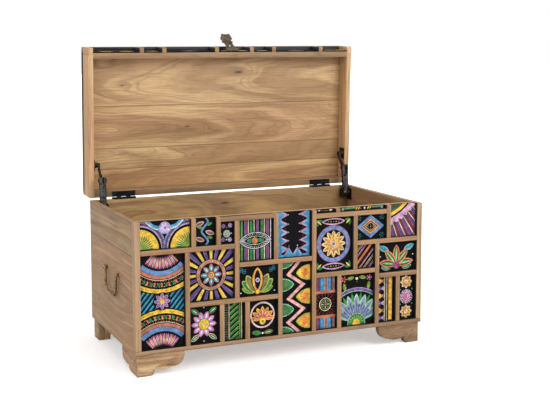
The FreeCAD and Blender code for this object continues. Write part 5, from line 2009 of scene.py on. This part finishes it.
@dataclass
class Carcase:
    """The box: end panels, back, bottom, front board, stiles, rail and feet."""

    edge: float = 1.2 * MILLIMETRE
    foot_edge: float = 1.8 * MILLIMETRE
    end_planks: tuple[Plank, ...] = (
        Plank(0.06, 0.19, -0.1, 0.16, 0.004, 0.7, 1.05),
        Plank(0.332, 0.5, 0.3, 0.05, 0.05, 0.1, 0.96),
    )
    end_knots: tuple[Knot, ...] = (Knot(-0.15, 0.3, 0.0018), Knot(0.1, 0.14, 0.0014))
    back_planks: tuple[Plank, ...] = (
        Plank(0.06, 0.12, -0.3, 0.07), Plank(0.168, 0.24, 0.3, -0.08, 0.01, 0.6, 0.96),
        Plank(0.3, 0.37, -0.5, 0.09, 0.004, 0.35, 1.0),
    )
    back_knots: tuple[Knot, ...] = (Knot(-0.012, 0.395, 0.004),)
    bottom_planks: tuple[Plank, ...] = (
        Plank(-0.25, -0.18, 0.2), Plank(-0.13, -0.06, -0.4, 0.08, 0.01, 0.7, 0.97),
        Plank(0.0, 0.05, 0.5, -0.08, 0.01, 0.3), Plank(0.1, 0.15, -0.1, 0.1, 0.01, 0.5, 0.95),
    )

    def panels(self) -> None:
        """Shows the four sides' panels, the bottom and the board behind the tiles."""
        ends = MangoWood("mango_end_panel", "Y", "Z", light=srgb(194, 158, 116),
                         middle=srgb(162, 126, 86), dark=srgb(104, 76, 50),
                         grey=srgb(146, 124, 94), red=srgb(190, 142, 106),
                         gold=srgb(206, 170, 124), brown=srgb(136, 104, 72),
                         planks=self.end_planks, knots=self.end_knots, figure=1.15,
                         stain=0.16).build()
        # Painted shade: the back panel's darker, more saturated colours stand in for the warm shade inside
        # the box.
        back = MangoWood("mango_back_panel", "X", "Z", light=srgb(190, 150, 86),
                         middle=srgb(140, 102, 50), gold=srgb(206, 168, 100),
                         brown=srgb(104, 72, 36), red=srgb(186, 140, 88),
                         planks=self.back_planks, knots=self.back_knots, figure=1.3).build()
        bottom = MangoWood("mango_bottom_panel", "X", "Y", planks=self.bottom_planks).build()
        board = MangoWood("mango_front_board", "X", "Z", painted=(-AXIS_Y,)).build()
        for node, wood in (("side_panel_left", ends), ("side_panel_right", ends),
                           ("back_panel", back), ("bottom_panel", bottom),
                           ("front_board", board)):
            eased(node, wood, self.edge, BOARD_SHORTEST)

    def frame_sticks(self) -> None:
        """Shows the front's corner stiles and bottom rail."""
        for side, inward in zip(SIDES, (AXIS_X, -AXIS_X)):
            stile = MangoWood("mango_stile_" + side, "Z", "X", light=srgb(194, 165, 128),
                              middle=srgb(168, 138, 101), painted=(inward,), stain=0.18)
            eased("front_stile_" + side, stile.build(), self.edge, STICK_SHORTEST)
        rail = MangoWood("mango_front_rail", "X", "Z", light=srgb(172, 138, 102),
                         middle=srgb(136, 104, 72), gold=srgb(180, 148, 112),
                         brown=srgb(112, 84, 58), painted=(AXIS_Z,), figure=1.2,
                         stain=0.34)
        eased("front_rail", rail.build(), self.edge, STICK_SHORTEST)

    def feet(self) -> None:
        """Shows the bracket feet and the blocks behind them."""
        lengthwise = MangoWood("mango_foot", "X", "Z", light=srgb(238, 202, 152),
                               middle=srgb(190, 151, 104), gold=srgb(246, 214, 160),
                               figure=1.25, stain=0.72).build()
        # Painted shade: the right front foot gets a darker, greyer copy of the foot wood than the left one.
        painted_shade_foot = MangoWood("mango_grey_foot", "X", "Z", light=srgb(129, 106, 77),
                           middle=srgb(94, 74, 51), gold=srgb(141, 117, 86),
                           brown=srgb(80, 61, 42), figure=1.2, stain=0.4).build()
        endwise = MangoWood("mango_side_foot", "Y", "Z", light=srgb(196, 160, 128),
                            middle=srgb(164, 130, 99), stain=0.42).build()
        for side, front in zip(SIDES, (lengthwise, painted_shade_foot)):
            for name, wood in (("front_foot_", front), ("rear_foot_", lengthwise),
                               ("side_foot_front_", endwise), ("side_foot_rear_", endwise)):
                eased(name + side, wood, self.foot_edge)
        eased("foot_glue_blocks", lengthwise, self.edge)

    def build(self) -> None:
        """Builds and finishes the whole box."""
        self.panels()
        self.frame_sticks()
        self.feet()


@dataclass
class Patchwork:
    """Battens and painted tiles of the front, the lid's front and the lid's top."""

    edge: float = 1.0 * MILLIMETRE
    light: Colour = srgb(178, 138, 92)
    middle: Colour = srgb(140, 102, 62)
    gold: Colour = srgb(190, 152, 104)
    brown: Colour = srgb(108, 76, 46)
    stain: float = 0.24
    front_tiles: tuple[str, ...] = ("front_tiles_top", "front_tiles_middle", "front_tiles_lower")

    def battens(self) -> None:
        """Shows the battens, with the paint that ran down their sides."""
        sides = (AXIS_X, -AXIS_X)
        for node, grain, across, blackened in (
                ("front_upright_battens", "Z", "X", sides),
                ("front_cross_battens", "X", "Z", (AXIS_Z, -AXIS_Z)),
                ("lid_front_battens", "Y", "X", sides),
                ("lid_top_battens", "Z", "X", (*sides, LID_OUT, -LID_OUT)),
                ("lid_top_border", "X", "Z", (-LID_UP,))):
            wood = MangoWood("mango_" + node, grain, across, light=self.light,
                             middle=self.middle, gold=self.gold, brown=self.brown,
                             painted=blackened, stain=self.stain)
            eased(node, wood.build(), self.edge, STICK_SHORTEST)

    def paint(self, panels: list[Panel], designs: Sequence[Design], name: str,
              body: str) -> None:
        """Lays one design on each panel, each stroke a little prouder than the last.

        Args:
            panels: The panels.
            designs: The designs, in the panels' order.
            name: What the painted pieces are named for.
            body: The moving body that they ride on.
        """
        for number, (panel, design) in enumerate(zip(panels, designs), start=1):
            relief = Relief(panel)
            for stroke in design:
                relief.lay(stroke)
            relief.finish("paint_%s_%02d" % (name, number), body)

    def build(self) -> None:
        """Shows the battens, blackens the tiles and lays the paint."""
        self.battens()
        ground = BlackGround().build()
        for nodes, up, out, designs, name, body in (
                (self.front_tiles, AXIS_Z, -AXIS_Y, FRONT_DESIGNS, "front", "box"),
                (("lid_front_tiles",), LID_UP, LID_OUT, LID_FRONT_DESIGNS, "lid_front", "lid"),
                (("lid_top_tiles",), -LID_OUT, LID_UP, LID_TOP_DESIGNS, "lid_top", "lid")):
            for node in nodes:
                dress(node, ground)
            self.paint(panels_of(nodes, AXIS_X, up, out), designs, name, body)


@dataclass
class Lid:
    """The lid's boards and rails."""

    edge: float = 1.2 * MILLIMETRE
    planks: tuple[Plank, ...] = (
        Plank(0.42, 0.47, 0.5, -0.05, 0.01, 0.55, 1.26),
        Plank(0.5136, 0.56, -0.62, 0.06, 0.006, 0.16, 1.32),
        Plank(0.5786, 0.64, -0.5, 0.085, 0.002, 0.85, 1.06),
        Plank(0.7106, 0.8, 0.62, -0.11, 0.004, 0.4, 1.11),
    )
    knots: tuple[Knot, ...] = (Knot(0.061, 0.811, 0.0055), Knot(-0.115, 0.64, 0.0016),
                               Knot(-0.33, 0.775, 0.0022))

    def build(self) -> None:
        """Shows the lid's wooden parts."""
        inside = MangoWood("mango_lid_board", "X", "Z", light=srgb(210, 174, 124),
                           middle=srgb(170, 134, 90), gold=srgb(228, 194, 138),
                           brown=srgb(138, 102, 62), planks=self.planks, knots=self.knots,
                           figure=1.05).build()
        # Painted shade: the lid rails' darker colours stand in for the shade under the lid's rim.
        rail = MangoWood("mango_lid_rail", "X", "Y", light=srgb(156, 129, 92),
                         middle=srgb(116, 93, 64), gold=srgb(166, 140, 100),
                         brown=srgb(98, 74, 48), stain=0.42).build()
        end = MangoWood("mango_lid_end", "Z", "Y", light=srgb(234, 192, 144),
                        middle=srgb(200, 158, 110), gold=srgb(240, 202, 154),
                        brown=srgb(166, 124, 80)).build()
        for node, wood in (("lid_top_board", inside), ("lid_front_rail", rail),
                           ("lid_rear_rail", rail), ("lid_side_left", end),
                           ("lid_side_right", end)):
            eased(node, wood, self.edge, BOARD_SHORTEST)
        eased("lid_front_stiles", end, self.edge, STICK_SHORTEST)


@dataclass
class Ironmongery:
    """Hinges, folding stays, hasp, bail handles and their screws."""

    black: WornMetal = WornMetal("black_hinge_steel", srgb(17, 17, 18), srgb(36, 34, 34), 0.2,
                                 0.5, gloss=0.16)
    stay: WornMetal = WornMetal("dark_stay_steel", srgb(26, 20, 17), srgb(62, 43, 32), 0.35,
                                0.42, gloss=0.16)
    damper: WornMetal = WornMetal("grey_damper_steel", srgb(84, 82, 82), srgb(34, 32, 32), 0.95,
                                  0.24, 0.009)
    brass: WornMetal = WornMetal("antique_brass", srgb(84, 68, 52), srgb(44, 34, 27), 0.85,
                                 0.38, 0.012)
    bronze: WornMetal = WornMetal("bronzed_handle", srgb(160, 127, 85), srgb(64, 48, 32), 0.95,
                                  0.25, 0.013)

    def build(self) -> None:
        """Shows the metal parts with smooth curves."""
        paired = {name: [name + "_" + side for side in SIDES] for name in (
            "stay_body", "stay_arm", "stay_bracket", "stay_elbow_pin", "stay_lid_bracket",
            "handle_bail", "handle_posts")}
        for metal, nodes in (
                (self.black, ("hinge_leaves_box", "hinge_leaves_lid", "hinge_pins",
                              "screws_box", "screws_lid")),
                (self.damper, paired["stay_body"]),
                (self.stay, (*paired["stay_arm"], *paired["stay_bracket"],
                             *paired["stay_elbow_pin"], *paired["stay_lid_bracket"],
                             "stay_foot_pins")),
                (self.bronze, (*paired["handle_bail"], *paired["handle_posts"],
                               "handle_nuts")),
                (self.brass, ("hasp_plate", "hasp_pin", "hasp_strap", "hasp_screws"))):
            look = metal.build()
            for node in nodes:
                eased(node, look)


@dataclass(frozen=True)
class Lamp:
    """One soft square lamp: its name, its place, its size and its power in watts."""

    name: str
    spot: Vector
    size: float
    power: float

    def build(self) -> None:
        """Hangs the lamp so that it looks at the middle of the chest."""
        data = bpy.data.lights.new(self.name, "AREA")
        data.size, data.energy = self.size, self.power
        lamp = bpy.data.objects.new(self.name, data)
        lamp.location = self.spot
        ahead = Vector((0, 0, 0.4)) - self.spot
        lamp.rotation_euler = ahead.to_track_quat("-Z", "Y").to_euler()
        bpy.context.scene.collection.objects.link(lamp)


@dataclass
class Studio:
    """Floor, lights, world and camera.

    Attributes:
        camera_spot: Where the camera stands.
        yaw: How far it is turned from the chest's front, in radians.
        pitch: How far it looks up, in radians.
        roll: How far it leans, in radians.
        focal_pixels: Its focal length, in the photograph's pixels.
        centre_pixels: Where its axis meets the photograph.
        picture: The photograph's width and height.
        sensor: Width of its sensor, in millimetres.
        ambient: How bright the world is as light.
        fade: From where to where the floor fades to white, from the chest's middle.
        glow: How strongly the floor glows to the camera under the chest, a painted glow that lightens the
            chest's shadow there.
        lamps: The lamps.
    """

    camera_spot: Vector = field(default_factory=lambda: Vector((-1.2566, -2.947, 0.90049)))
    yaw: float = 0.40213
    pitch: float = -0.10923
    roll: float = -0.00362
    focal_pixels: float = 1054.97
    centre_pixels: Point = (247.92, 160.0)
    picture: tuple[int, int] = (550, 412)
    sensor: float = 36.0
    ambient: float = 0.55
    fade: tuple[float, float] = (0.6, 1.7)
    glow: float = 0.42
    lamps: tuple[Lamp, ...] = (
        Lamp("key_lamp", Vector((1.6, -3.2, 2.6)), 2.2, 95.0),
        Lamp("fill_lamp", Vector((-3.4, -1.6, 1.8)), 2.4, 26.0),
        Lamp("top_lamp", Vector((0.0, -0.4, 3.6)), 2.6, 38.0),
    )

    def camera(self) -> None:
        """Stands the camera where the photograph was taken from."""
        wide, high = self.picture
        data = bpy.data.cameras.new("photo_camera")
        data.sensor_width = self.sensor
        data.lens = self.focal_pixels / wide * self.sensor
        data.shift_x = (wide / 2 - self.centre_pixels[0]) / wide
        data.shift_y = (self.centre_pixels[1] - high / 2) / wide
        camera = bpy.data.objects.new("photo_camera", data)
        ahead = Vector((math.sin(self.yaw) * math.cos(self.pitch),
                        math.cos(self.yaw) * math.cos(self.pitch), math.sin(self.pitch)))
        right = Vector((math.cos(self.yaw), -math.sin(self.yaw), 0.0))
        up = right.cross(ahead)
        right, up = (right * math.cos(self.roll) + up * math.sin(self.roll),
                     up * math.cos(self.roll) - right * math.sin(self.roll))
        camera.matrix_world = (Matrix.Translation(self.camera_spot)
                               @ Matrix((right, up, -ahead)).transposed().to_4x4())
        bpy.context.scene.collection.objects.link(camera)
        bpy.context.scene.camera = camera

    def floor(self) -> None:
        """Lays a wide pale floor that keeps the chest's shadow, with a painted glow that only the camera
        sees, faint near the chest and white further off.
        """
        shape = bmesh.new()
        bmesh.ops.create_grid(shape, x_segments=1, y_segments=1, size=30.0)
        bench = Bench("pale_floor")
        seen = bench.tree.nodes.new("ShaderNodeLightPath")
        # Painted glow: camera rays see the floor glow, faintly near the chest, where it lightens the
        # shadow, and fully white further off.
        white = bench.span(bench.length(bench.spot), *self.fade, self.glow, 1.0)
        patches = bench.noise(bench.spot, 3.0, 3.0)
        bench.finish(
            Base_Color=bench.over((0.88, 0.88, 0.88), (patches, (0.9, 0.9, 0.9))),
            Roughness=0.9, Emission_Color=(1, 1, 1, 1),
            Emission_Strength=bench.times(seen.outputs["Is Camera Ray"], white))
        piece = place(shape, "floor", [bench.material])

    def world(self) -> None:
        """Makes a world white to the camera and to reflections, and softer as light."""
        world = bpy.data.worlds.new("studio")
        world.use_nodes = True
        tree = world.node_tree
        ground = next(n for n in tree.nodes if n.type == "BACKGROUND")
        ground.inputs["Color"].default_value = (1, 1, 1, 1)
        seen = tree.nodes.new("ShaderNodeLightPath")
        direct = tree.nodes.new("ShaderNodeMath")
        direct.operation = "MAXIMUM"
        tree.links.new(seen.outputs["Is Camera Ray"], direct.inputs[0])
        tree.links.new(seen.outputs["Is Glossy Ray"], direct.inputs[1])
        strength = tree.nodes.new("ShaderNodeMapRange")
        strength.inputs["To Min"].default_value = self.ambient
        strength.inputs["To Max"].default_value = 1.0
        tree.links.new(direct.outputs[0], strength.inputs["Value"])
        tree.links.new(strength.outputs["Result"], ground.inputs["Strength"])
        bpy.context.scene.world = world

    def build(self) -> None:
        """Sets up the studio."""
        self.camera()
        self.floor()
        self.world()
        for lamp in self.lamps:
            lamp.build()
        bpy.context.scene.view_settings.view_transform = "Standard"


def main() -> None:
    """Builds the chest's looks and the studio."""
    logging.basicConfig(level=logging.INFO, format="%(name)s %(message)s")
    for paint in Paint:
        PAINT_MATERIALS[paint] = RaisedPaint(paint).build()
    for part in (Carcase(), Lid(), Patchwork(), Ironmongery(), Studio()):
        log.info("building %s", type(part).__name__)
        part.build()


if __name__ == "__main__":
    main()
